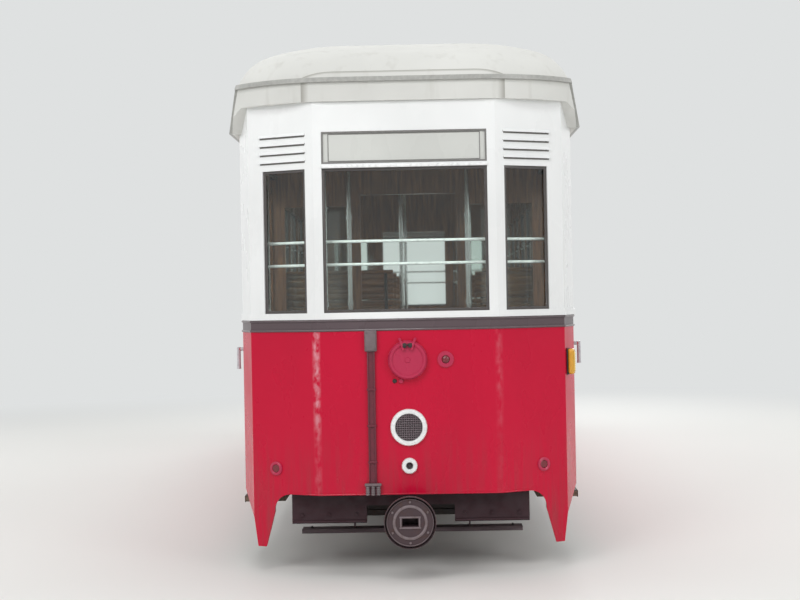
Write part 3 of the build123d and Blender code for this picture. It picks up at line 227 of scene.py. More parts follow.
# Small enamelled fittings in one colour, in places chipped down to the primer
def fittingPaint(name, code, roughness=0.35, chips=0.0):
    material, tree, place = newMaterial(name, Coat_Weight=0.2)
    spots = addGrain(tree, place, 22, detail=5.0)
    shade = addNode(tree, "MapRange", spots, *noiseSpan, 0.86, 1.1)
    colour = addNode(tree, "HueSaturation", Value=shade, Color=code)
    if chips:
        worn = addGrain(tree, place, 9, detail=6.0, distortion=0.3)
        worn = addNode(tree, "MapRange", worn, 0.62, 0.68, 0, chips)
        colour = addNode(tree, "Mix", worn, colour, "6B5B50", data_type="RGBA")
    rough = addNode(tree, "MapRange", spots, *noiseSpan, roughness - 0.06, roughness + 0.1)
    brushed = addRelief(tree, place, 4, 3.0, 0.2, 0.3)
    return joined(material, Base_Color=colour, Roughness=rough, Normal=brushed)


# Black underframe paint with brake dust: dull, browner on what lies flat
def framePaint(name, code, dust="6A574A"):
    material, tree, place = newMaterial(name)
    up = addNode(tree, "SeparateXYZ", addNode(tree, "TexCoord", out="Normal"), out="Z")
    flat = addNode(tree, "MapRange", up, 0, 1, 0.15, 0.7)
    patches = addGrain(tree, place, 60, detail=6.0)
    settled = addNode(tree, "MapRange", patches, 0.35, 0.7, 0, 1)
    settled = addNode(tree, "Math", flat, settled, operation="MULTIPLY")
    colour = addNode(tree, "Mix", settled, code, dust, data_type="RGBA")
    rough = addNode(tree, "MapRange", patches, *noiseSpan, 0.5, 0.8)
    gritty = addRelief(tree, place, 5, 4.0, 0.6, 0.4)
    return joined(material, Base_Color=colour, Roughness=rough, Normal=gritty)


# Sand-cast iron, brushed with thin paint: a grainy skin with rust where it is touched
def castIron(name, code, rust):
    material, tree, place = newMaterial(name, Metallic=0.25)
    patches = addGrain(tree, place, 35, detail=6.0, distortion=0.2)
    rusty = addNode(tree, "MapRange", patches, 0.5, 0.72, 0, 0.7)
    colour = addNode(tree, "Mix", rusty, code, rust, data_type="RGBA")
    rough = addNode(tree, "MapRange", patches, *noiseSpan, 0.42, 0.7)
    sand = addRelief(tree, place, 2.5, 3.0, 0.5, 0.6)
    return joined(material, Base_Color=colour, Roughness=rough, Normal=sand)


treadEdge = (352, 360)  # the radii between which the brown disc gives way to the bright tread


# Rolled steel tyres: bright where they run on the rail, brown and dull on the disc
def wheelSteel(name):
    material, tree, place = newMaterial(name)
    y = addNode(tree, "Math", addNode(tree, "SeparateXYZ", place, out="Y"), operation="ABSOLUTE")
    y = addNode(tree, "Math", y, mm(axleY), operation="SUBTRACT")
    z = addNode(tree, "SeparateXYZ", place, out="Z")
    z = addNode(tree, "Math", z, mm(axleHeight), operation="SUBTRACT")
    radius = addNode(tree, "VectorMath", addNode(tree, "CombineXYZ", y, z), operation="LENGTH")
    bright = addNode(tree, "MapRange", radius, *map(mm, treadEdge), 0, 1)
    patches = addGrain(tree, place, 40, detail=6.0)
    rusty = addNode(tree, "MapRange", patches, 0.35, 0.65, 0, 1)
    dull = addNode(tree, "Mix", rusty, "3A2F2B", "5D483C", data_type="RGBA")
    colour = addNode(tree, "Mix", bright, dull, "A8A29C", data_type="RGBA")
    rough = addNode(tree, "MapRange", patches, *noiseSpan, 0.55, 0.75)
    rough = addNode(tree, "Math", rough, addNode(tree, "MapRange", bright, 0, 1, 0, -0.3), operation="ADD")
    scaly = addRelief(tree, place, 4, 4.0, 0.4, 0.4)
    return joined(material, Base_Color=colour, Metallic=bright, Roughness=rough, Normal=scaly)


# Boards: clear varnish that glows brown, or bare planks gone grey
def woodBoards(name, light, dark, along, board=None, gloss=0.3, coat=0.5):
    material, tree, place = newMaterial(name, Coat_Weight=coat, Coat_Roughness=0.15)
    tone, height = addWood(tree, place, light, dark, along, board)
    rough = addNode(tree, "MapRange", addGrain(tree, place, 120), *noiseSpan, gloss, gloss + 0.2)
    raised = addNode(tree, "Bump", Height=height, Distance=mm(0.8), Strength=0.5)
    return joined(material, Base_Color=tone, Roughness=rough, Normal=raised)


# the darker grey beside each roof seam is painted shade
cloth = {
    "light": "D8D8D4", "dark": "D0D0CC", "stain": "A8A59C", "seamShade": "8E8B83", "ceiling": "D8D3C4",
    "groove": "8A8375", "seamPitch": 1200, "seam": 34, "board": 75, "grooveWidth": 6,
}


# Painted canvas over the roof boards: a matt cloth skin with seams, and painted boards on the ceiling side
def roofCanvas(name):
    material, tree, place = newMaterial(name)
    normal = addNode(tree, "TexCoord", out="Normal")
    level = addNode(tree, "VectorMath", place, (1, 1, 0), operation="MULTIPLY")
    outward = addNode(tree, "VectorMath", level, normal, operation="DOT_PRODUCT")
    up = addNode(tree, "SeparateXYZ", normal, out="Z")
    below = addNode(tree, "Math", up, -0.2, operation="LESS_THAN")
    inward = addNode(tree, "Math", outward, -0.2, operation="LESS_THAN")
    ceiling = addNode(tree, "Math", below, inward, operation="MAXIMUM")
    # the eaves outside the walls are painted like the roof
    ceiling = addNode(tree, "Math", ceiling, addEndDepth(tree, place), operation="MULTIPLY")
    patches = addNode(tree, "MapRange", addGrain(tree, place, 500), 0.35, 0.65, 0, 1)
    skin = addNode(tree, "Mix", patches, cloth["dark"], cloth["light"], data_type="RGBA")
    stains = addNode(tree, "MapRange", addGrain(tree, place, 70, (1, 1, 5), 5.0), 0.55, 0.8, 0, 0.3)
    skin = addNode(tree, "Mix", stains, skin, cloth["stain"], data_type="RGBA")
    along = addNode(tree, "SeparateXYZ", place, out="Y")
    along = addNode(tree, "Math", along, 1 / mm(cloth["seamPitch"]), operation="MULTIPLY")
    along = addNode(tree, "Math", along, operation="FRACT")
    width = cloth["seam"] / cloth["seamPitch"]
    seam = addNode(tree, "Math", along, 1 - width, operation="GREATER_THAN")
    # painted shade lines along both edges of each seam, where the overlapped strip shades the cloth
    fromEdge = along
    for distance in (1 - width / 2, width / 2):
        fromEdge = addNode(tree, "Math", fromEdge, distance, operation="SUBTRACT")
        fromEdge = addNode(tree, "Math", fromEdge, operation="ABSOLUTE")
    near, far = 1.5 / cloth["seamPitch"], 9 / cloth["seamPitch"]
    seamShadow = addNode(tree, "MapRange", fromEdge, near, far, 0.7, 0)
    skin = addNode(tree, "Mix", seamShadow, skin, cloth["seamShade"], data_type="RGBA")
    across = addNode(tree, "SeparateXYZ", place)
    across = addNode(tree, "Math", across, 1 / mm(cloth["board"]), operation="MULTIPLY")
    across = addNode(tree, "Math", across, operation="FRACT")
    width = cloth["grooveWidth"] / cloth["board"]
    groove = addNode(tree, "Math", across, 1 - width, operation="GREATER_THAN")
    lined = addNode(tree, "Mix", groove, cloth["ceiling"], cloth["groove"], data_type="RGBA")
    colour = addNode(tree, "Mix", ceiling, skin, lined, data_type="RGBA")
    rough = addNode(tree, "MapRange", ceiling, 0, 1, 0.75, 0.4)
    weave = addRelief(tree, place, 6, 2.0, 0.5, 0.35)  # coarser than real canvas, so that it shows
    raised = addNode(tree, "Bump", Height=seam, Distance=mm(2), Strength=0.6, Normal=weave)
    return joined(material, Base_Color=colour, Roughness=rough, Normal=raised)


# Drawn glass: nearly clear and faintly green, which lets the lamps through to the inside
def windowGlass(name, tint="EFF5F2"):
    clearSheet = {"Transmission_Weight": 1.0, "Roughness": 0.03, "IOR": 1.45}
    material, tree, place = newMaterial(name, Base_Color=hexColour(tint), **clearSheet)
    waves = addRelief(tree, place, 160, 1.0, 1.5, 0.08)
    lamps = addNode(tree, "LightPath", out="Is Shadow Ray")
    clear = addNode(tree, "BsdfTransparent", Color=tint)
    mixed = addNode(tree, "MixShader", lamps, tree.nodes["Principled BSDF"].outputs[0], clear)
    tree.links.new(mixed, tree.nodes["Material Output"].inputs["Surface"])
    return joined(material, Normal=waves)


# Polished tube or pressed plate, brushed along its length
def brightMetal(name, code, roughness=0.2, grain=(1, 1, 12)):
    material, tree, place = newMaterial(name, Metallic=1.0, Base_Color=hexColour(code))
    marks = addGrain(tree, place, 3, grain, 3.0)
    rough = addNode(tree, "MapRange", marks, *noiseSpan, roughness - 0.04, roughness + 0.08)
    brushed = addNode(tree, "Bump", Height=marks, Distance=mm(0.05), Strength=0.05)
    return joined(material, Roughness=rough, Normal=brushed)


# Moulded or cast see-through lenses and opal bowls: light gets in and spreads
def lens(name, code, glow, roughness=0.18):
    material, tree, place = newMaterial(name, Transmission_Weight=glow, IOR=1.49, Coat_Weight=0.6)
    tone = addGrain(tree, place, 30, detail=2.0)
    shade = addNode(tree, "MapRange", tone, *noiseSpan, 0.92, 1.08)
    colour = addNode(tree, "HueSaturation", Value=shade, Color=code)
    rough = addNode(tree, "MapRange", tone, *noiseSpan, roughness - 0.05, roughness + 0.08)
    uneven = addRelief(tree, place, 7, 2.0, 0.3, 0.3)
    return joined(material, Base_Color=colour, Roughness=rough, Normal=uneven)


# Extruded rubber seals: black, dull and chalky
def rubber(name):
    material, tree, place = newMaterial(name)
    chalk = addGrain(tree, place, 25, detail=5.0)
    chalky = addNode(tree, "MapRange", chalk, 0.5, 0.75, 0, 0.5)
    colour = addNode(tree, "Mix", chalky, "1F1D1D", "4B4745", data_type="RGBA")
    rough = addNode(tree, "MapRange", chalk, *noiseSpan, 0.55, 0.8)
    pitted = addRelief(tree, place, 3, 3.0, 0.3, 0.4)
    return joined(material, Base_Color=colour, Roughness=rough, Normal=pitted)


redBand = (0, livery["red"])
wallBands = [(0, livery["belt"]), (beltTop, livery["white"])]
# the red of the ends carries the painted highlight along the folds of the front sheet
redDash = enamel("redEnamelDash", [redBand], addEndDepth, foldHighlight=0.75)
redSide = enamel("redEnamelSide", [redBand], addSideDepth)
redPlain = enamel("redEnamelFittings", [redBand])
fadedRed = enamel("fadedRedEnamel", [(0, "B83051")])
whiteEnd = enamel("whiteEnamelEnd", wallBands, addEndDepth)
whiteSide = enamel("whiteEnamelSide", wallBands, addSideDepth)
doorPaint = enamel("doorEnamel", [redBand, (beltBottom, livery["belt"]), (beltTop, livery["white"])])
signFace = enamel("signEnamel", [(0, "D0D1CD")])
whiteFitting = fittingPaint("whiteFittingPaint", livery["white"], 0.3)
beltPaint = fittingPaint("beltPaint", livery["belt"], 0.35)
# the drip mouldings are a darker grey than the canvas: partly their own paint, partly painted shade for the
# shadow line under the moulding
gutterPaint = fittingPaint("gutterPaint", "A6A6A2", 0.45)
sashPaint = fittingPaint("sashPaint", "4B4645", 0.4, 0.6)
signFramePaint = fittingPaint("signFramePaint", "7A7876", 0.4)
aluminiumPaint = fittingPaint("aluminiumPaint", "C6C3C8", 0.3)
# dark grey for the painted shadow under the louvre hoods
louvreShade = fittingPaint("louvreShadowPaint", "6E6C68", 0.7)
darkMesh = fittingPaint("darkMesh", "75656B", 0.5)
darkHollow = fittingPaint("darkHollow", "3B3034", 0.6)
conduitPaint = fittingPaint("conduitPaint", "66182C", 0.45, 0.25)
glandPaint = fittingPaint("glandPaint", "716366", 0.5)
blackPaint = framePaint("underframePaint", "262122")
maroonPaint = framePaint("headBeamPaint", "2C0C18", "45302F")
iron = castIron("castIron", "47373B", "523C35")
wornIron = castIron("wornIron", "7B6E71", "675855")
tyreSteel = wheelSteel("tyreSteel")
steelTube = brightMetal("polishedTube", "C9CAC9")
lightAlloy = brightMetal("castAlloy", "C6C7C6", 0.34, (1, 1, 1))
floorBoards = woodBoards("floorBoards", "7A6852", "4E4234", "Y", ("X", 95), 0.5, 0.1)
varnish = woodBoards("varnishedAsh", livery["varnishLight"], livery["varnishDark"], "Z")
slatVarnish = woodBoards("varnishedSlats", "9A6637", "5F381C", "X")
planks = woodBoards("greyPlanks", "8A7B68", "54483D", "Y", None, 0.65, 0.0)
darkPlanks = woodBoards("sootyPlanks", "85767A", "5A4C50", "X", None, 0.65, 0.0)
canvas = roofCanvas("roofCanvas")
sealRubber = rubber("sealRubber")
glass = windowGlass("drawnGlass")
opal = lens("opalGlass", "F0EDE4", 0.15, 0.25)
amberLens = lens("amberLens", "EBAE28", 0.2)
yellowLens = lens("yellowLens", "FFE25C", 0.1)
redLens = lens("redLens", "7E0F22", 0.2)

dressed = [
    (redDash, "dash_front dash_rear quarter_panels"),
    (redSide, "side_panel_left side_panel_right"),
    (redPlain, "step_aprons lamp_covers"),
    (redLens, "small_lamps"),
    (doorPaint, "door_front_left door_front_right door_rear_left door_rear_right"),
    (whiteEnd, "front_frame rear_frame"),
    (whiteSide, "side_frame_left side_frame_right"),
    (whiteFitting, "ring_lamps guard_bars"),
    (canvas, "roof"),
    (gutterPaint, "drip_moulding"),
    (blackPaint, "solebars crossbars bearers pin_carriers axle_guards brake_gear leaf_springs door_rails"),
    (blackPaint, "dash_conduits"),
    (maroonPaint, "head_beams"),
    (iron, "axleboxes coupler_front coupler_rear"),
    (tyreSteel, "wheels_front wheels_rear axle_front axle_rear"),
    (floorBoards, "saloon_floor platform_floors"),
    (varnish, "bulkheads"),
    (slatVarnish, "benches"),
    (planks, "step_boards side_guards"),
    (darkPlanks, "lifeguards"),
    (sashPaint, "saloon_sashes"),
    (glass, "saloon_panes end_panes bulkhead_panes door_pane_front_left door_pane_front_right"),
    (glass, "door_pane_rear_left door_pane_rear_right"),
    (signFace, "sign_boxes"),
    (steelTube, "grab_poles handbrakes"),
    (opal, "ceiling_lamps"),
    (amberLens, "side_indicators"),
]
for material, names in dressed:
    for name in names.split():
        for slot in nodes[name].material_slots:
            slot.material = material
print("materials on", sum(len(names.split()) for material, names in dressed), "nodes")


# Mesh tools: each adds to a bmesh, in millimetres
def addBox(bm, low, high, bevel=0.0, segments=1):
    made = bmesh.ops.create_cube(bm, size=1.0)["verts"]
    bmesh.ops.scale(bm, vec=[abs(h - l) for l, h in zip(low, high)], verts=made)
    bmesh.ops.translate(bm, vec=[(h + l) / 2 for l, h in zip(low, high)], verts=made)
    if bevel:
        edges = list({edge for vert in made for edge in vert.link_edges})
        bmesh.ops.bevel(
            bm, geom=edges, offset=bevel, segments=segments, profile=0.5, affect="EDGES", material=-1
        )


def addRod(bm, start, end, radius, sides=16, farRadius=None):
    start, end = Vector(start), Vector(end)
    way = end - start
    place = Matrix.Translation((start + end) / 2) @ way.to_track_quat("Z", "Y").to_matrix().to_4x4()
    far = radius if farRadius is None else farRadius
    bmesh.ops.create_cone(
        bm, cap_ends=True, segments=sides, radius1=radius, radius2=far, depth=way.length, matrix=place
    )


def addBolt(bm, place, way, size):
    place, way = Vector(place), Vector(way)
    addRod(bm, place, place + way * size * 0.8, size, 6)
    addRod(bm, place, place + way * size * 1.3, size * 0.5, 10)


def turned(profile, steps):
    # a profile of (radius, height) pairs turned about Z
    part = bmesh.new()
    verts = [part.verts.new((r, 0, z)) for r, z in profile]
    edges = [part.edges.new(pair) for pair in zip(verts, verts[1:])]
    bmesh.ops.spin(
        part, geom=verts + edges, cent=(0, 0, 0), axis=(0, 0, 1), angle=2 * pi, steps=steps, use_merge=True
    )
    bmesh.ops.remove_doubles(part, verts=part.verts, dist=1e-3)
    bmesh.ops.recalc_face_normals(part, faces=part.faces)
    return part


def windowRing(width, height, bar, depth, corner=0.0, bevel=0.0):
    # a flat frame in XY: a plate whose middle is inset and taken out, then given its depth
    part = bmesh.new()
    bmesh.ops.create_grid(part, x_segments=1, y_segments=1, size=0.5)
    bmesh.ops.scale(part, vec=(width, height, 1), verts=part.verts)
    if corner:
        bmesh.ops.bevel(
            part, geom=part.verts[:], offset=corner, segments=8, profile=0.5, affect="VERTICES", material=-1
        )
    middle = part.faces[:]
    bmesh.ops.inset_region(part, faces=middle, thickness=bar, use_boundary=True, use_even_offset=True)
    bmesh.ops.delete(part, geom=middle, context="FACES_ONLY")
    raised = bmesh.ops.extrude_face_region(part, geom=part.faces[:])["geom"]
    moved = [g for g in raised if isinstance(g, bmesh.types.BMVert)]
    bmesh.ops.translate(part, vec=(0, 0, depth), verts=moved)
    bmesh.ops.recalc_face_normals(part, faces=part.faces)
    if bevel:
        sharp = [e for e in part.edges if e.calc_face_angle(0) > 1 and e.calc_length() > 4 * bevel]
        bmesh.ops.bevel(part, geom=sharp, offset=bevel, segments=2, profile=0.5, affect="EDGES", material=-1)
    return part


def roundedPath(points, bend, steps=6):
    # the inner corners of a path replaced by arcs of this radius
    path = [points[0]]
    for before, corner, after in zip(points, points[1:], points[2:]):
        back, on = (before - corner).normalized(), (after - corner).normalized()
        half = back.angle(on) / 2
        centre = corner + (back + on).normalized() * bend / sin(half)
        first = corner + back * (bend * cos(half) / sin(half)) - centre
        last = corner + on * (bend * cos(half) / sin(half)) - centre
        turn = first.rotation_difference(last)
        path += [centre + Quaternion(turn.axis, turn.angle * k / steps) @ first for k in range(steps + 1)]
    return path + [points[-1]]


def addTube(bm, points, radius, bend=0.0, closed=False, fineness=2):
    path = [Vector(p) for p in points]
    if bend:
        path = roundedPath(path, bend)
    curve = bpy.data.curves.new("path", "CURVE")
    curve.dimensions = "3D"
    curve.bevel_depth = radius
    curve.bevel_resolution = fineness
    curve.use_fill_caps = not closed
    spline = curve.splines.new("POLY")
    spline.points.add(len(path) - 1)
    for point, co in zip(spline.points, path):
        point.co = (*co, 1)
    spline.use_cyclic_u = closed
    thing = bpy.data.objects.new("path", curve)
    mesh = bpy.data.meshes.new_from_object(thing)
    bm.from_mesh(mesh)
    bpy.data.objects.remove(thing)
    bpy.data.curves.remove(curve)
    bpy.data.meshes.remove(mesh)


def finishPiece(name, parts, material, body="car", replaced=()):
    # parts are pairs of a mesh and the places of its copies; a mirrored copy is turned right side out
    bm = bmesh.new()
    for part, places in parts:
        single = bpy.data.meshes.new("part")
        part.to_mesh(single)
        part.free()
        for place in places:
            copy = single.copy()
            copy.transform(place)
            if place.determinant() < 0:
                copy.flip_normals()
            bm.from_mesh(copy)
            bpy.data.meshes.remove(copy)
        bpy.data.meshes.remove(single)
    bmesh.ops.scale(bm, vec=[mm(1)] * 3, verts=bm.verts)
    mesh = bpy.data.meshes.new(name)
    bm.to_mesh(mesh)
    bm.free()
    mesh.shade_smooth()
    mesh.set_sharp_from_angle(angle=radians(38))
    mesh.materials.append(material)
    thing = bpy.data.objects.new(name, mesh)
    bpy.context.scene.collection.objects.link(thing)
    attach(thing, body)
    if replaced:
        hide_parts(*replaced)


# Places: what is built for the right of the front is turned and mirrored to the other corners
asBuilt = Matrix.Identity(4)
mirrorX = Matrix.Scale(-1, 4, (1, 0, 0))
mirrorY = Matrix.Scale(-1, 4, (0, 1, 0))
halfTurn = Matrix.Rotation(pi, 4, "Z")
bothEnds = (asBuilt, halfTurn)
fourCorners = (asBuilt, mirrorX, halfTurn, halfTurn @ mirrorX)
facetRun = Vector((endPlan["cornerHalf"] - endPlan["centreHalf"], endPlan["cornerSetback"], 0)).normalized()
facetOut = Vector((facetRun.y, -facetRun.x, 0))


def panelPlace(origin, across, outward):
    # a local frame with x to the right, y up and z out of the panel
    columns = (Vector(across), Vector((0, 0, 1)), Vector(outward), Vector(origin))
    return Matrix([[c[row] for c in columns] for row in range(3)] + [[0, 0, 0, 1]])


def onFronts(x, z, out=0.0):
    place = panelPlace((x, frontFace - out, z), (1, 0, 0), (0, -1, 0))
    return [turn @ place for turn in bothEnds]


def onFacets(along, z, out=0.0):
    # on the angled walls beside the front, counted from their inner edges
    origin = Vector((endPlan["centreHalf"], frontFace, z)) + facetRun * along + facetOut * out
    return [turn @ panelPlace(origin, facetRun, facetOut) for turn in fourCorners]


def sidePlace(y, z, x):
    return panelPlace((x, y, z), (0, 1, 0), (1, 0, 0))


def endOutline(out, z, reach=0.0):
    # points round the front end, this far outside its panels, from the left side to the right
    plan = [
        (platformHalf, frontFace + reach),
        (platformHalf, frontFace + endPlan["flareSetback"]),
        (endPlan["cornerHalf"], frontFace + endPlan["cornerSetback"]),
        (endPlan["centreHalf"], frontFace),
        (0, frontFace),
    ]
    walls = []
    for (x0, y0), (x1, y1) in zip(plan, plan[1:]):
        length = hypot(x1 - x0, y1 - y0)
        walls.append(Vector(((y0 - y1) / length, (x1 - x0) / length)))
    right = []
    for i, (x, y) in enumerate(plan[:-1]):
        before, after = walls[max(i - 1, 0)], walls[i]
        mitre = (before + after) / (1 + before.dot(after)) * out
        right.append(Vector((x + mitre.x, y + mitre.y, z)))
    return [Vector((-p.x, p.y, p.z)) for p in right] + right[::-1]


# Beads along the belt and the foot of the body, and the strips over the joints of its sheets
beads = {
    "belt": 7, "foot": 5, "proud": 1, "reach": 478, "footEnd": 700,
    "strips": (-1400, 0, 1400), "stripHalf": 17, "underBelt": 8,
}


def buildBeads():
    belt, foot, proud = beads["belt"], beads["foot"], beads["proud"]
    ends, sides = bmesh.new(), bmesh.new()
    for z in (beltBottom, beltTop - belt):
        addTube(ends, endOutline(proud, z, beads["reach"]), belt)
        for side in (-1, 1):
            x = side * (saloonHalf + proud)
            addTube(sides, [(x, -saloonEnd, z), (x, saloonEnd, z)], belt)
            x = side * (platformHalf + proud)
            for end in (-1, 1):
                addTube(sides, [(x, end * box("quarter_panels")[1].y, z), (x, end * saloonEnd, z)], belt)
    finishPiece("beltBeads", [(ends, bothEnds), (sides, [asBuilt])], beltPaint)
    sides, ends, corners = bmesh.new(), bmesh.new(), bmesh.new()
    low, high = dashBottom + foot, beltBottom - beads["underBelt"]
    for side in (-1, 1):
        x = side * (saloonHalf + proud)
        addTube(sides, [(x, -saloonEnd, low), (x, saloonEnd, low)], foot)
    # a corner angle where the wider saloon meets the platform
    edge = (saloonHalf + 3, saloonEnd + 3, high)
    addBox(corners, (saloonHalf - 10, saloonEnd - 26, dashBottom), edge, 1.5)
    points = []
    for x in (-beads["footEnd"], -endPlan["centreHalf"], endPlan["centreHalf"], beads["footEnd"]):
        points.append((x, frontFace + max(0, abs(x) - endPlan["centreHalf"]) / 2 - proud, low))
    addTube(ends, points, foot)
    for y in beads["strips"]:
        half = beads["stripHalf"]
        addBox(ends, (saloonHalf, y - half, dashBottom), (saloonHalf + 2.5, y + half, high), 1)
    parts = [(sides, [asBuilt]), (corners, fourCorners), (ends, bothEnds)]
    finishPiece("panelStrips", parts, redPlain)


# End windows: dark inner frames, the frame of the sign board, and painted shadow strips under the louvres
endGlazing = {
    "width": 960, "facet": (56, 347), "quarterY": 1565, "quarterWidth": 610, "bar": 17, "depth": 11,
    "back": 19, "secondBack": 38, "signBar": 10, "signLine": 4, "signInset": 38, "signMargin": 15,
    "signOut": -12, "louvreAlong": (54, 361), "louvrePitch": 50, "louvreFoot": 2418,
}


def buildEndGlazing():
    middle, height = (sill + windowTop) / 2, windowTop - sill
    width, back, bar, depth = (endGlazing[key] for key in ("width", "back", "bar", "depth"))
    start, end = endGlazing["facet"]
    quarter = sidePlace(frontFace + endGlazing["quarterY"], middle, platformHalf - back)
    rings = [
        (width, onFronts(0, middle, -back) + onFronts(0, middle, -endGlazing["secondBack"])),
        (end - start, onFacets((start + end) / 2, middle, -back)),
        (endGlazing["quarterWidth"], [turn @ quarter for turn in fourCorners]),
    ]
    parts = [(windowRing(wide, height, bar, depth, 0, 2), places) for wide, places in rings]
    finishPiece("endWindowFrames", parts, sashPaint)
    low, high = box("sign_boxes")
    places = onFronts(0, (low.z + high.z) / 2, endGlazing["signOut"])
    tall = high.z - low.z - 2 * endGlazing["signMargin"]
    frameRing = windowRing(width, tall, endGlazing["signBar"], 9, 0, 1.5)
    line = windowRing(width - 2 * endGlazing["signInset"], tall - 26, endGlazing["signLine"], 3)
    finishPiece("signFrames", [(frameRing, places), (line, places)], signFramePaint)
    part = bmesh.new()
    addBox(part, (-484, -9, -4), (484, 9, 12), 4, 2)
    finishPiece("windowHeadRails", [(part, onFronts(0, windowTop + 8))], whiteFitting)
    # painted shadow: a dark strip under each louvre hood, where light from above casts shade
    part = bmesh.new()
    low, high = endGlazing["louvreAlong"]
    for i in range(4):
        z = i * endGlazing["louvrePitch"]
        addBox(part, (low, z - 9, -1), (high, z, 1.4), 0.6)
    finishPiece("louvreShadows", [(part, onFacets(0, endGlazing["louvreFoot"]))], louvreShade)


# Round and small fittings of the dash
dash = {
    "coverZ": 1252, "coverR": 115, "ringZ": 862, "ringR": 107, "glassR": 79, "socketZ": 639, "socketR": 46,
    "holeR": 20, "markerX": 220, "markerZ": 1252, "markerR": 48, "markerLensR": 24,
    "meshPitch": 13, "meshBar": 1.8, "conduitX": -213, "conduitHalf": 23, "clips": (0.2, 0.42, 0.64),
    "glandBox": (48, 70), "junctionBox": (36, 125), "boxDepth": 34,
    "reflectorAlong": 285, "reflectorZ": 622, "reflectorR": 24, "reflectorRim": 41,
}


def buildLamps():
    covers, rings = onFronts(0, dash["coverZ"]), onFronts(0, dash["ringZ"])
    r = dash["coverR"]
    profile = [(0, 34), (14, 34), (17, 30), (r - 30, 32), (r - 22, 40), (r - 13, 41), (r - 5, 34)]
    profile += [(r, 14), (r, 0), (0, 0)]
    arms = bmesh.new()
    for way in (-1, 1):
        # the two arms of the hinge spread upwards from the lid
        addTube(arms, [(way * 24, 58, 42), (way * 34, 96, 44), (way * 46, 124, 12)], 8, 20)
    addRod(arms, (-40, -121, 0), (-40, -121, 14), 15, 20, 12)
    parts = [(turned(profile, 48), covers), (arms, covers)]
    finishPiece("socketLid", parts, fadedRed, replaced=["lamp_covers"])
    part = bmesh.new()
    for x in (-17, 17):
        addBox(part, (x - 11, 72, 36), (x + 11, 98, 52), 4, 2)
    addRod(part, (-36, 88, 44), (36, 88, 44), 5)
    addRod(part, (-78, -121, 0), (-78, -121, 8), 13, 20, 10)
    finishPiece("lidHinge", [(part, covers)], blackPaint)
    parts, bowls = [], []
    for z, outer, inner in (
        (dash["ringZ"], dash["ringR"], dash["glassR"]), (dash["socketZ"], dash["socketR"], dash["holeR"])
    ):
        profile = [(outer, 0), (outer, 12), (outer - 4, 20), ((outer + inner) / 2, 22), (inner + 3, 20)]
        profile += [(inner, 15), (inner, 0), (outer, 0)]
        parts.append((turned(profile, 56), onFronts(0, z)))
        profile = [(0, 1), (inner * 0.6, 2), (inner, 7), (inner, 0), (0, 0)]
        bowls.append((turned(profile, 40), onFronts(0, z, 0.5)))
    finishPiece("lampRings", parts, whiteFitting, replaced=["ring_lamps"])
    part = bmesh.new()
    addRod(part, (0, 0, 0), (0, 0, 12), 7)
    finishPiece("lampBowls", bowls + [(part, onFronts(0, dash["socketZ"]))], darkHollow)
    part = bmesh.new()
    reach = int(dash["glassR"] / dash["meshPitch"])
    for i in range(-reach, reach + 1):
        off = i * dash["meshPitch"]
        half = (dash["glassR"] ** 2 - off ** 2) ** 0.5
        addRod(part, (off, -half, 12), (off, half, 12), dash["meshBar"], 6)
        addRod(part, (-half, off, 13.5), (half, off, 13.5), dash["meshBar"], 6)
    finishPiece("lampGuard", [(part, rings)], darkMesh)
    markers = onFronts(dash["markerX"], dash["markerZ"])
    reflectors = onFacets(dash["reflectorAlong"], dash["reflectorZ"])
    r = dash["reflectorR"]
    domed = [(0, 17), (12, 16), (21, 11), (24, 5), (24, 0), (0, 0)]
    flat = [(0, 9), (r - 3, 9), (r, 6), (r, 0), (0, 0)]
    parts = [(turned(domed, 32), markers), (turned(flat, 32), reflectors)]
    finishPiece("markerLenses", parts, redLens, replaced=["small_lamps"])
    parts = []
    for outer, inner, places in (
        (dash["markerR"], dash["markerLensR"], markers), (dash["reflectorRim"], r, reflectors)
    ):
        profile = [(outer, 0), (outer - 1, 9), ((outer + inner) / 2, 12), (inner, 9), (inner, 0), (outer, 0)]
        parts.append((turned(profile, 32), places))
    finishPiece("markerRims", parts, fadedRed)


def buildConduits():
    foot = onFronts(dash["conduitX"], dashBottom)
    tall, half, deep = beltBottom - dashBottom, dash["conduitHalf"], dash["boxDepth"]
    part = bmesh.new()
    for side in (-1, 1):
        addBox(part, (side * half, 0, 0), (side * (half - 9), tall - 2, 17), 3, 2)
    addBox(part, (-half + 4, 0, 0), (half - 4, tall - 2, 9), 2)
    for share in dash["clips"]:
        addBox(part, (-half - 4, tall * share - 8, 0), (half + 4, tall * share + 8, 18), 3)
    finishPiece("dashConduit", [(part, foot)], conduitPaint, replaced=["dash_conduits"])
    part = bmesh.new()
    wide, high = dash["junctionBox"]
    addBox(part, (-wide, tall - high, 0), (wide, tall - 2, deep - 6), 7, 3)
    addBox(part, (-wide + 5, tall - high + 5, 20), (wide - 5, tall - 7, deep), 4, 2)
    for x in (13 - wide, wide - 13):
        for z in (14, high - 16):
            addBolt(part, (x, tall - z, deep), (0, 0, 1), 5)
    finishPiece("junctionBox", [(part, foot)], glandPaint)
    part = bmesh.new()
    wide, high = dash["glandBox"]
    for x in (-31, 0, 31):
        for z in (4, 17, 30, 43):
            addRod(part, (x, z, 18), (x, z + 8, 18), 14, 16, 11)
        addRod(part, (x, 0, 18), (x, high - 12, 18), 9)
    addBox(part, (-wide, high - 16, 0), (wide, high, deep), 4, 2)
    finishPiece("cableGlands", [(part, foot)], glandPaint)


# Amber indicator on the right flare of each end
indicator = {"z": 1217, "share": 0.25, "length": 158, "width": 54, "depth": 49, "ribPitch": 14}


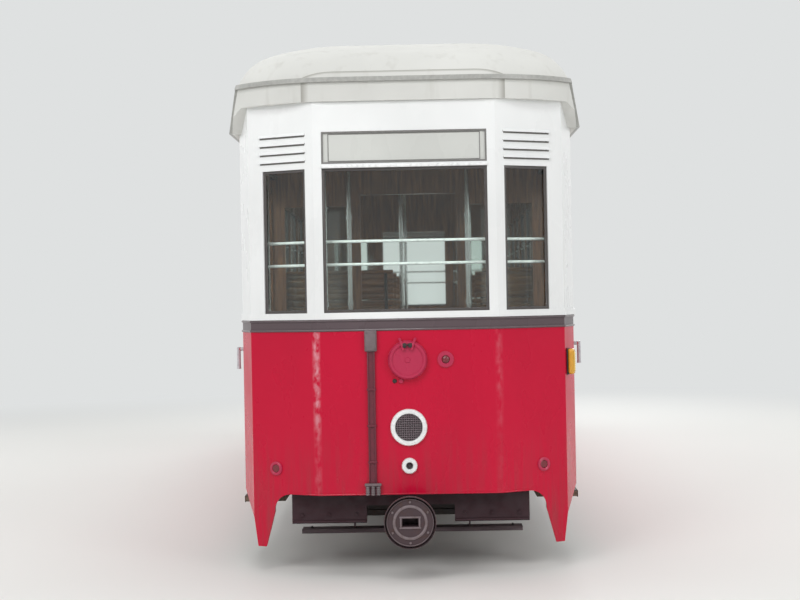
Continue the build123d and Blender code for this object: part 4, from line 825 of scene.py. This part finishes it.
def buildIndicators():
    start = Vector((endPlan["cornerHalf"], frontFace + endPlan["cornerSetback"], indicator["z"]))
    end = Vector((platformHalf, frontFace + endPlan["flareSetback"], indicator["z"]))
    run = (end - start).normalized()
    place = panelPlace(start.lerp(end, indicator["share"]), run, (run.y, -run.x, 0))
    places = [turn @ place for turn in bothEnds]
    half, tall, deep = indicator["width"] / 2, indicator["length"] / 2, indicator["depth"]
    base, bowl, core = bmesh.new(), bmesh.new(), bmesh.new()
    addBox(base, (-half, -tall, 0), (half, tall, 10), 4, 2)
    finishPiece("indicatorBases", [(base, places)], blackPaint)
    addBox(bowl, (-half + 3, -tall + 3, 8), (half - 3, tall - 3, deep - 4), 12, 4)
    for i in range(-4, 5):
        z = i * indicator["ribPitch"]
        addBox(bowl, (-half + 6, z - 2, 12), (half - 6, z + 2, deep - 2.5), 1.5)
    finishPiece("indicatorLenses", [(bowl, places)], amberLens, replaced=["side_indicators"])
    addBox(core, (-9, -tall + 22, 30), (9, tall - 22, deep - 1.5), 5, 3)
    finishPiece("indicatorCores", [(core, places)], yellowLens)


# Sliding doors: what is on each leaf moves with it
doors = {
    "front_left": mirrorX, "front_right": asBuilt, "rear_left": halfTurn, "rear_right": halfTurn @ mirrorX,
}
leaf = {
    "thick": 35, "window": 420, "corner": 60, "gasket": 9, "windowRise": 20, "sealTop": 2464,
    "handleY": -4285, "handleZ": 1317, "hook": 120, "reach": 95, "bar": 11.7,
    "plate": (1000, 1166), "leverZ": 1138, "keyholeZ": 1018,
}


def buildDoors():
    low, high = box("door_front_right")
    face = low.x + leaf["thick"]
    paneY = sum(corner.y for corner in box("door_pane_front_right")) / 2
    foot = sill + leaf["windowRise"]
    y, z, hook, bar = leaf["handleY"], leaf["handleZ"], leaf["hook"], leaf["bar"]
    far, lever = face + leaf["reach"], leaf["leverZ"]
    for name, turn in doors.items():
        body = name + "_door"
        ring = windowRing(leaf["window"] + 14, windowTop - foot + 14, 16, leaf["gasket"], leaf["corner"], 2)
        places = [turn @ sidePlace(paneY, (foot + windowTop) / 2, x) for x in (face, face - 44)]
        part = bmesh.new()
        addTube(part, [(face - 10, low.y + 6, low.z), (face - 10, low.y + 6, leaf["sealTop"])], 11)
        finishPiece(name + "_doorSeals", [(ring, places), (part, [turn])], sealRubber, body)
        part = bmesh.new()
        addTube(part, [(face, y, z), (far - bar, y, z)], bar, fineness=3)
        addTube(part, [(far, y, z + bar), (far, y, z - hook - 1)], bar, fineness=3)
        addRod(part, (face, y, z), (face + 8, y, z), 27, 24, 22)
        addRod(part, (far, y, z - hook - 2), (far, y, z - hook + 12), 13, 20)
        # the bright edge strip above the handle, and the lock plate with its lever
        addBox(part, (face - 3, y - 30, z - 40), (face + 6, y - 8, beltBottom + 2), 3, 2)
        addBox(part, (face, y - 26, leaf["plate"][0]), (face + 4, y + 22, leaf["plate"][1]), 3, 2)
        addRod(part, (face, y - 2, lever), (face + 34, y - 2, lever), 9)
        # the lever hangs straight down, so that it clears the wall when the leaf is open
        points = [(face + out, y - 2, lever + rise) for out, rise in ((30, 6), (30, -86), (22, -102))]
        addTube(part, points, 7, 14)
        addRod(part, (face, y - 2, leaf["keyholeZ"]), (face + 8, y - 2, leaf["keyholeZ"]), 11, 20, 9)
        finishPiece(name + "_doorHandles", [(part, [turn])], aluminiumPaint, body)
        part = bmesh.new()
        for beadZ in (beltBottom + 4, beltTop - 4):
            addTube(part, [(face, low.y + 14, beadZ), (face, high.y - 4, beadZ)], 5)
        finishPiece(name + "_doorBeads", [(part, [turn])], beltPaint, body)


# Saloon sides: drip strip with clips, window surrounds and lifting catches
saloonSide = {"windows": 8, "post": 70, "sash": 0.33, "clips": (-0.3, 0.3), "catches": (-0.32, 0.32)}
windowPitch = (2 * saloonEnd - saloonSide["post"]) / saloonSide["windows"]
windowMiddles = [(i - (saloonSide["windows"] - 1) / 2) * windowPitch for i in range(saloonSide["windows"])]


def buildSides():
    width, height = windowPitch - saloonSide["post"], saloonWindowTop - sill
    transom = saloonWindowTop - saloonSide["sash"] * height
    drips, trims, bars, catches = (bmesh.new() for i in range(4))
    for proud, low, high, bevel in ((13, 16, 26, 2), (4, 26, 40, 1.5)):
        start = (saloonHalf, -saloonEnd + 20, saloonWindowTop + low)
        addBox(drips, start, (saloonHalf + proud, saloonEnd - 20, saloonWindowTop + high), bevel)
    finishPiece("dripStrips", [(drips, bothEnds)], gutterPaint)
    for middle in windowMiddles:
        for y in [middle + off * width for off in saloonSide["clips"]]:
            start = (saloonHalf, y - 9, saloonWindowTop + 12)
            addBox(trims, start, (saloonHalf + 16, y + 9, saloonWindowTop + 46), 3, 2)
        start = (saloonHalf - 18, middle - width / 2, transom - 14)
        addBox(bars, start, (saloonHalf - 6, middle + width / 2, transom + 14), 4, 2)
        for y in [middle + off * width for off in saloonSide["catches"]]:
            start = (saloonInner + 4, y - 16, transom - 40)
            addBox(catches, start, (saloonInner + 20, y + 16, transom - 28), 3, 2)
    for low, high, proud, bevel in ((eave - 14, eave - 1, 11, 5), (sill - 6, sill + 4, 14, 4)):
        addBox(trims, (saloonHalf - 2, -saloonEnd, low), (saloonHalf + proud, saloonEnd, high), bevel, 2)
    finishPiece("sideTrims", [(trims, bothEnds)], whiteFitting)
    ring = windowRing(width, height, 9, 7, 0, 1.5)
    panes = [sidePlace(y, (sill + saloonWindowTop) / 2, saloonHalf - 12) for y in windowMiddles]
    parts = [(ring, [turn @ pane for turn in bothEnds for pane in panes]), (bars, bothEnds)]
    finishPiece("sashSurrounds", parts, sashPaint)
    finishPiece("sashCatches", [(catches, bothEnds)], lightAlloy)


# Slatted benches: seats and backs of narrow varnished slats on bent frames
bench = {
    "double": 860, "single": 460, "seat": 430, "back": 920, "depth": 430, "gap": 25,
    "slat": 38, "slatGap": 9, "thick": 16, "lean": 40, "dip": 14, "tube": 11, "brace": 10,
}


def benchPart(width):
    # one bench whose back stands at y = 0 and whose seat looks along +Y, from x = 0 to its width
    wood, frames = bmesh.new(), bmesh.new()
    seat, back, gap, depth, thick = (bench[key] for key in ("seat", "back", "gap", "depth", "thick"))
    pitch = bench["slat"] + bench["slatGap"]
    first = gap + 62
    count = int((depth - first) / pitch) + 1
    for i in range(count):
        y, z = first + i * pitch, seat - bench["dip"] * sin(pi * (i + 0.5) / count)
        addBox(wood, (6, y, z - thick), (width - 6, y + bench["slat"], z), 5, 2)
    for i in range(int((back - seat - 50) / pitch)):
        z = seat + 46 + i * pitch
        share = (z - seat) / (back - seat)
        y = gap + 14 + bench["lean"] * (1 - share) + 6 * sin(pi * share)
        addBox(wood, (6, y, z), (width - 6, y + thick, z + bench["slat"]), 5, 2)
    addTube(wood, [(8, gap + 16, back - 16), (width - 8, gap + 16, back - 16)], 15, fineness=3)
    feet = (depth - 110, gap + 120)
    bent = [(gap + 12, back - 24), (gap + 10 + bench["lean"], seat - 30)]
    bent += [(depth - 20, seat - 26), (feet[0], 0)]
    for x in (60, width - (60 if width > 500 else 70)):
        addTube(frames, [(x, y, z) for y, z in bent], bench["tube"], 34)
        addTube(frames, [(x, gap + bench["lean"], seat - 34), (x, feet[1], 0)], bench["brace"])
        for foot in feet:
            addRod(frames, (x, foot, 0), (x, foot, 6), 26, 16, 22)
    return wood, frames


def buildBenches():
    edges = [(i - 2) * 2 * windowPitch for i in range(5)]
    slats, frames = [], []
    for turn, wide in ((mirrorX, bench["double"]), (asBuilt, bench["single"])):
        places = []
        for low, high in zip(edges, edges[1:]):
            places.append(turn @ Matrix.Translation((saloonInner - wide, low, saloonFloorTop)))
            places.append(turn @ Matrix.Translation((saloonInner - wide, high, saloonFloorTop)) @ mirrorY)
        wood, tubes = benchPart(wide)
        slats.append((wood, places))
        frames.append((tubes, places))
    finishPiece("benchSlats", slats, slatVarnish, replaced=["benches"])
    finishPiece("benchFrames", frames, blackPaint)


# Poles, rails, handbrakes and lamps inside
inside = {
    "pole": 16, "flange": 34, "platformPoles": ((-520, 760), (-410, 1700), (410, 1700)), "gangwayGap": 34,
    "collars": (900, 1500), "rails": (1814, 1949), "railInset": 112, "railWall": 46, "railR": 9,
    "brakeX": -500, "brakeSetback": 330, "brakeHigh": 690, "wheelR": 130, "rim": 13, "endLamps": 3800,
    "ceiling": 62, "curveStart": 260, "curveSpan": 475, "curveFall": 90, "collarHalf": 16,
}


def buildInside():
    feet = []
    for turn in bothEnds:
        for x, setback in inside["platformPoles"]:
            feet.append(turn @ Vector((x, frontFace + setback, platformFloorTop)))
    gap = inside["gangwayGap"]
    for x in (bench["double"] - saloonInner + gap, saloonInner - bench["single"] - gap):
        for y in (-2 * windowPitch, 2 * windowPitch):
            feet.append(Vector((x, y, saloonFloorTop)))
    part = bmesh.new()
    pole, flange = inside["pole"], inside["flange"]
    for x, y, z in feet:
        # the ceiling curves down towards the sides
        share = max(0.0, abs(x) - inside["curveStart"]) / inside["curveSpan"]
        high = crown - inside["ceiling"] - inside["curveFall"] * share
        addRod(part, (x, y, z), (x, y, high), pole, 20)
        addRod(part, (x, y, z), (x, y, z + 10), flange, 24, flange - 8)
        addRod(part, (x, y, high - 8), (x, y, high + 6), flange - 8, 24, flange)
        for collar in inside["collars"]:
            low, top = z + collar - inside["collarHalf"], z + collar + inside["collarHalf"]
            addRod(part, (x, y, low), (x, y, top), pole + 5, 20)
    finishPiece("grabPoles", [(part, [asBuilt])], steelTube, replaced=["grab_poles"])
    part = bmesh.new()
    for z in inside["rails"]:
        # a rail ends at the corner posts, and a short arm at each corner holds it to the wall
        rail, wall = (endOutline(-inset, z)[2:-2] for inset in (inside["railInset"], inside["railWall"]))
        addTube(part, rail, inside["railR"], fineness=3)
        for point, foot in zip(rail, wall):
            addRod(part, point, foot, 7, 12)
            addRod(part, foot, foot.lerp(point, 0.1), 18)
    finishPiece("guardRails", [(part, bothEnds)], whiteFitting, replaced=["guard_bars"])
    part = bmesh.new()
    high, radius = inside["brakeHigh"], inside["wheelR"]
    for low, top, start, end in ((0, 24, 48, 36), (20, high - 30, 22, 19), (high - 44, high, 27, 20)):
        addRod(part, (0, 0, low), (0, 0, top), start, 24, end)
    ring = [(radius * cos(a * pi / 20), radius * sin(a * pi / 20), high - 14) for a in range(40)]
    addTube(part, ring, inside["rim"], closed=True, fineness=3)
    for a in [i * pi / 2 + 0.4 for i in range(4)]:
        addRod(part, (0, 0, high - 16), (radius * cos(a), radius * sin(a), high - 14), 8, 12)
    foot = Matrix.Translation((inside["brakeX"], frontFace + inside["brakeSetback"], platformFloorTop))
    places = [turn @ foot for turn in bothEnds]
    finishPiece("handbrakeWheels", [(part, places)], lightAlloy, replaced=["handbrakes"])
    low, high = [corner.z for corner in box("ceiling_lamps")]
    across = [-inside["endLamps"], *(k * windowPitch for k in (-3, -1, 1, 3)), inside["endLamps"]]
    spots = [Matrix.Translation((0, y, 0)) for y in across]
    bowl = [(0, low), (40, low + 4), (66, low + 20), (80, low + 48)]
    bowl += [(82, high - 24), (76, high - 20), (0, high - 20)]
    parts = [(turned(bowl, 32), spots)]
    finishPiece("lampBowlsInside", parts, opal, replaced=["ceiling_lamps"])
    rim = [(0, high - 22), (85, high - 22), (87, high - 12), (70, high - 1), (0, high - 1)]
    finishPiece("lampRimsInside", [(turned(rim, 32), spots)], lightAlloy)


# Running gear details
gear = {
    "bolt": 11, "lidR": 62, "lidBolts": 68, "springX": 885, "springTop": 162, "shackleY": 410,
    "guardBolts": 190, "barX": 890, "boltPitch": 385, "rodZ": 560, "rodEnd": 1255,
    "plateY": -3985, "plateFoot": 236, "yokeY": 1100, "pullRod": ((-500, 4470), (-60, 2900)),
    "straps": 118, "headBolts": (-640, -480, -320, 320, 480, 640),
}


def buildRunningGear():
    atAxles = [turn @ Matrix.Translation((0, y, 0)) for turn in bothEnds for y in (-axleY, axleY)]
    lid, part = gear["lidR"], bmesh.new()
    profile = [(0, 12), (20, 12), (24, 7), (lid - 6, 7), (lid, 3), (lid, 0), (0, 0)]
    x = box("axleboxes")[1].x
    for y in (-gear["lidBolts"], gear["lidBolts"]):
        for z in (-gear["lidBolts"], gear["lidBolts"]):
            addBolt(part, (x, y, axleHeight + z), (1, 0, 0), gear["bolt"])
    addBox(part, (x - 60, -26, axleHeight + 90), (x - 14, 26, axleHeight + 102), 4)
    lids = [turn @ sidePlace(0, axleHeight, x) for turn in atAxles]
    finishPiece("axleboxLids", [(turned(profile, 28), lids), (part, atAxles)], iron)
    part = bmesh.new()
    x, top = gear["springX"], axleHeight + gear["springTop"]
    addBox(part, (x - 44, -50, top - 68), (x + 44, 50, top + 4), 4, 2)
    for side in (-1, 1):
        shackle = side * gear["shackleY"]
        addRod(part, (x - 46, shackle, top + 62), (x + 46, shackle, top + 62), 13)
        addBolt(part, (x + 44, shackle, top + 62), (1, 0, 0), 16)
        addBolt(part, (x + 44, side * 28, top - 34), (1, 0, 0), 10)
        for z in (700, 800):
            addBolt(part, (box("axle_guards")[1].x, side * gear["guardBolts"], z), (1, 0, 0), gear["bolt"])
        strap = side * gear["straps"]
        addBox(part, (815, strap - 6, 232), (858, strap + 6, 690), 2)
    addBox(part, (812, -140, 226), (852, 140, 240), 3)
    finishPiece("springBuckles", [(part, atAxles)], blackPaint)
    bars, rods = bmesh.new(), bmesh.new()
    x = gear["barX"]
    low, high = [corner.z for corner in box("solebars")]
    for z in (low, high - 14):
        addBox(bars, (x - 2, -saloonEnd + 4, z), (x + 26, saloonEnd - 4, z + 14), 3)
    for i in range(-7, 8):
        addBolt(bars, (x, i * gear["boltPitch"], (low + high) / 2), (1, 0, 0), 10)
    z, reach = gear["rodZ"], gear["rodEnd"]
    addRod(rods, (0, -reach, z), (0, reach, z), 14)
    for end in (-1, 1):
        addRod(rods, (0, end * reach, z), (0, end * (reach + 15), axleHeight), 12)
        yoke = end * gear["yokeY"]
        addBox(rods, (-30, yoke - 60, z - 20), (30, yoke + 60, z + 20), 6, 2)
        addRod(rods, *((x, end * y, z) for x, y in gear["pullRod"]), 9, 12)
    finishPiece("underframeDetails", [(bars, bothEnds), (rods, [asBuilt])], blackPaint)
    part = bmesh.new()
    low, high = box("head_beams")
    for x in gear["headBolts"]:
        for z in (low.z + 50, high.z - 50):
            addBolt(part, (x, low.y, z), (0, -1, 0), 12)
    # flat irons along the edges of the beam, parted below where the drawbar swings
    for start, end, z in ((-690, 690, high.z - 26), (-690, -262, low.z + 4), (262, 690, low.z + 4)):
        addBox(part, (start, low.y - 10, z), (end, low.y + 4, z + 14), 3)
    finishPiece("headBeamBolts", [(part, bothEnds)], maroonPaint)
    # a dark plate across the bearers closes the space behind the drawbar: it stands for the drawgear there
    # and gives the shade under the car where the pale floor would show through
    part = bmesh.new()
    high, foot, y = box("bearers")[1], gear["plateFoot"], gear["plateY"]
    reach = high.x - 62
    addBox(part, (-reach, y, foot), (reach, y + 8, high.z - 2), 2)
    for z in (foot, high.z - 40):
        addBox(part, (-reach, y - 12, z), (reach, y, z + 36), 3)
    for x in (20 - reach, -130, 130, reach - 20):
        addBox(part, (x - 5, y - 14, foot + 4), (x + 5, y, high.z - 6), 2)
    finishPiece("drawgearShadePlates", [(part, bothEnds)], blackPaint)


# Couplers: rims, ribs and bolts on each buffer plate
plate = {"z": 345, "r": 148, "face": 5050, "bolts": 115, "hole": (53, 30), "barEnds": (4880, 4790, 4772)}


def buildCouplers():
    r, z, ahead = plate["r"], plate["z"], (0, -1, 0)
    rim = [(r - 1, -34), (r, -30), (r, -6), (r - 5, 0), (r - 13, 0), (r - 18, -6), (r - 20, -11)]
    rim += [(r - 40, -30), (r - 1, -34)]
    groove = [(82, -12), (84, -5), (88, -3), (94, -3), (98, -5), (100, -12), (82, -12)]
    face, (half, tall), (start, end, tip) = 10 - plate["face"], plate["hole"], plate["barEnds"]
    for body, turn in (("front_drawbar", asBuilt), ("rear_drawbar", halfTurn)):
        part = bmesh.new()
        for a in [2 * pi * (i + 0.5) / 6 for i in range(6)]:
            addBolt(part, (plate["bolts"] * cos(a), face, z + plate["bolts"] * sin(a)), ahead, 7)
        for side in (-1, 1):
            edge, x = z + side * tall, side * half
            addBox(part, (-half - 8, face - 6, edge - 5), (half + 8, face + 2, edge + 5), 2)
            addBox(part, (x - 5, face - 6, z - tall), (x + 5, face + 2, z + tall), 2)
            addBox(part, (side * 42 - 6, -start, z - 48), (side * 42 + 6, -end, z + 48), 3)
        addBox(part, (-44, -end, z - 34), (44, -tip, z + 34), 3)
        front = [turn @ panelPlace((0, -plate["face"], z), (1, 0, 0), ahead)]
        parts = [(turned(rim, 56), front), (part, [turn]), (turned(groove, 56), front)]
        finishPiece(body + "_plateRim", parts, wornIron, body)


# Step boards, guards and their iron edges
boards = {
    "start": 480, "end": 1180, "top": 392, "boltPitch": 140, "boltInsets": (60, 190),
    "guardPitch": 270, "guardBolts": (45, 185), "catcherBolts": (-640, -366, 366, 640),
}


def buildBoards():
    steps, guards, catchers = bmesh.new(), bmesh.new(), bmesh.new()
    x = box("step_boards")[1].x
    start, end, top = frontFace + boards["start"], frontFace + boards["end"], railTop + boards["top"]
    addBox(steps, (x - 7, start, top - 36), (x, end, top + 4), 2)
    addBox(steps, (x - 40, start, top), (x, end, top + 4), 1.5)
    for i in range(5):
        for inset in boards["boltInsets"]:
            addBolt(steps, (x - inset, start + 70 + i * boards["boltPitch"], top), (0, 0, 1), 8)
    low, high = box("side_guards")
    for i in range(-4, 5):
        for rise in boards["guardBolts"]:
            addBolt(guards, (high.x, i * boards["guardPitch"], low.z + rise), (1, 0, 0), 8)
    low = box("lifeguards")[0]
    for x in boards["catcherBolts"]:
        addBolt(catchers, (x, low.y + 60, low.z + 26), (0, 0, 1), 10)
    parts = [(steps, fourCorners), (guards, bothEnds), (catchers, bothEnds)]
    finishPiece("boardIrons", parts, blackPaint)


for build in (
    buildBeads, buildEndGlazing, buildLamps, buildConduits, buildIndicators, buildDoors, buildSides,
    buildBenches, buildInside, buildRunningGear, buildCouplers, buildBoards,
):
    build()
    print("done:", build.__name__)


# Studio: a pale floor, a pale surround and soft lamps
studio = {
    "floor": "E4E4E1", "surround": "DFE1E1", "surroundLight": 0.5,
    "floorReach": 90, "fadeStart": 5.5, "fadeEnd": 13,
    "lamps": [  # place, aim, width, length, watts
        ((-5.5, -13.0, 6.5), (0, -4.0, 1.4), 5, 4, 300),
        ((6.5, -12.0, 5.0), (0, -4.0, 1.4), 4, 3, 190),
        ((-0.8, -9.6, 7.0), (0, -4.8, 1.3), 3, 2, 120),
        ((0.0, 0.0, 9.0), (0, 0, 0), 5, 12, 270),
        ((10.0, 1.0, 5.5), (0, 0, 1.2), 11, 4, 420),
        ((-10.0, 1.0, 5.5), (0, 0, 1.2), 11, 4, 420),
        ((2.0, 13.0, 5.5), (0, 4.0, 1.4), 6, 4, 400),
    ],
}


def addSeenRays(tree):
    # 1 for what the camera sees itself, in a mirror or through glass
    rays = [addNode(tree, "LightPath", out=f"Is {kind} Ray") for kind in ("Camera", "Glossy", "Transmission")]
    seen = addNode(tree, "Math", rays[0], rays[1], operation="MAXIMUM")
    return addNode(tree, "Math", seen, rays[2], operation="MAXIMUM")


def buildStudio():
    bm = bmesh.new()
    bmesh.ops.create_circle(bm, cap_ends=True, segments=64, radius=studio["floorReach"])
    mesh = bpy.data.meshes.new("studioFloor")
    bm.to_mesh(mesh)
    bm.free()
    floor = bpy.data.objects.new("studioFloor", mesh)
    bpy.context.scene.collection.objects.link(floor)
    material, tree, place = newMaterial("studioFloorPaint", Roughness=0.7)
    cloud = addNode(tree, "MapRange", addGrain(tree, place, 3000, detail=2.0), *noiseSpan, 0, 0.04)
    colour = addNode(tree, "Mix", cloud, studio["floor"], "FFFFFF", data_type="RGBA")
    # far off the floor turns into the surround, so that no edge shows behind the car
    apart = addNode(tree, "VectorMath", place, operation="LENGTH")
    fade = (studio["fadeStart"], studio["fadeEnd"])
    far = addNode(tree, "MapRange", apart, *fade, interpolation_type="SMOOTHSTEP")
    far = addNode(tree, "Math", far, addSeenRays(tree), operation="MULTIPLY")
    glow = addNode(tree, "Emission", Color=studio["surround"], Strength=1.0)
    mixed = addNode(tree, "MixShader", far, tree.nodes["Principled BSDF"].outputs[0], glow)
    tree.links.new(mixed, tree.nodes["Material Output"].inputs["Surface"])
    mesh.materials.append(joined(material, Base_Color=colour))
    for place, aim, width, length, watts in studio["lamps"]:
        lamp = bpy.data.lights.new("softLamp", "AREA")
        lamp.shape = "RECTANGLE"
        lamp.size, lamp.size_y, lamp.energy = width, length, watts
        thing = bpy.data.objects.new("softLamp", lamp)
        thing.location = place
        thing.rotation_euler = (Vector(aim) - Vector(place)).to_track_quat("-Z", "Y").to_euler()
        bpy.context.scene.collection.objects.link(thing)
    world = bpy.data.worlds.new("paleSurround")
    world.use_nodes = True
    bpy.context.scene.world = world
    tree = world.node_tree
    back = tree.nodes["Background"]
    back.inputs["Color"].default_value = hexColour(studio["surround"])
    light = addNode(tree, "MapRange", addSeenRays(tree), 0, 1, studio["surroundLight"], 1.0)
    tree.links.new(light, back.inputs["Strength"])


# Camera where the photograph was taken from, turned to the car and with a longer lens
photographer = {"place": (0.101, -13.3, 1.593), "aim": (-0.038, -4.8, 1.6), "roll": 0.0187, "lens": 66}


def buildCamera():
    camera = bpy.data.cameras.new("photographer")
    camera.lens = photographer["lens"]
    camera.sensor_width = 36
    thing = bpy.data.objects.new("photographer", camera)
    way = Vector(photographer["aim"]) - Vector(photographer["place"])
    turn = way.to_track_quat("-Z", "Y").to_matrix().to_4x4() @ Matrix.Rotation(-photographer["roll"], 4, "Z")
    thing.matrix_world = Matrix.Translation(photographer["place"]) @ turn
    bpy.context.scene.collection.objects.link(thing)
    bpy.context.scene.camera = thing
    bpy.context.scene.view_settings.view_transform = "Standard"


buildStudio()
buildCamera()
print("studio and camera ready")
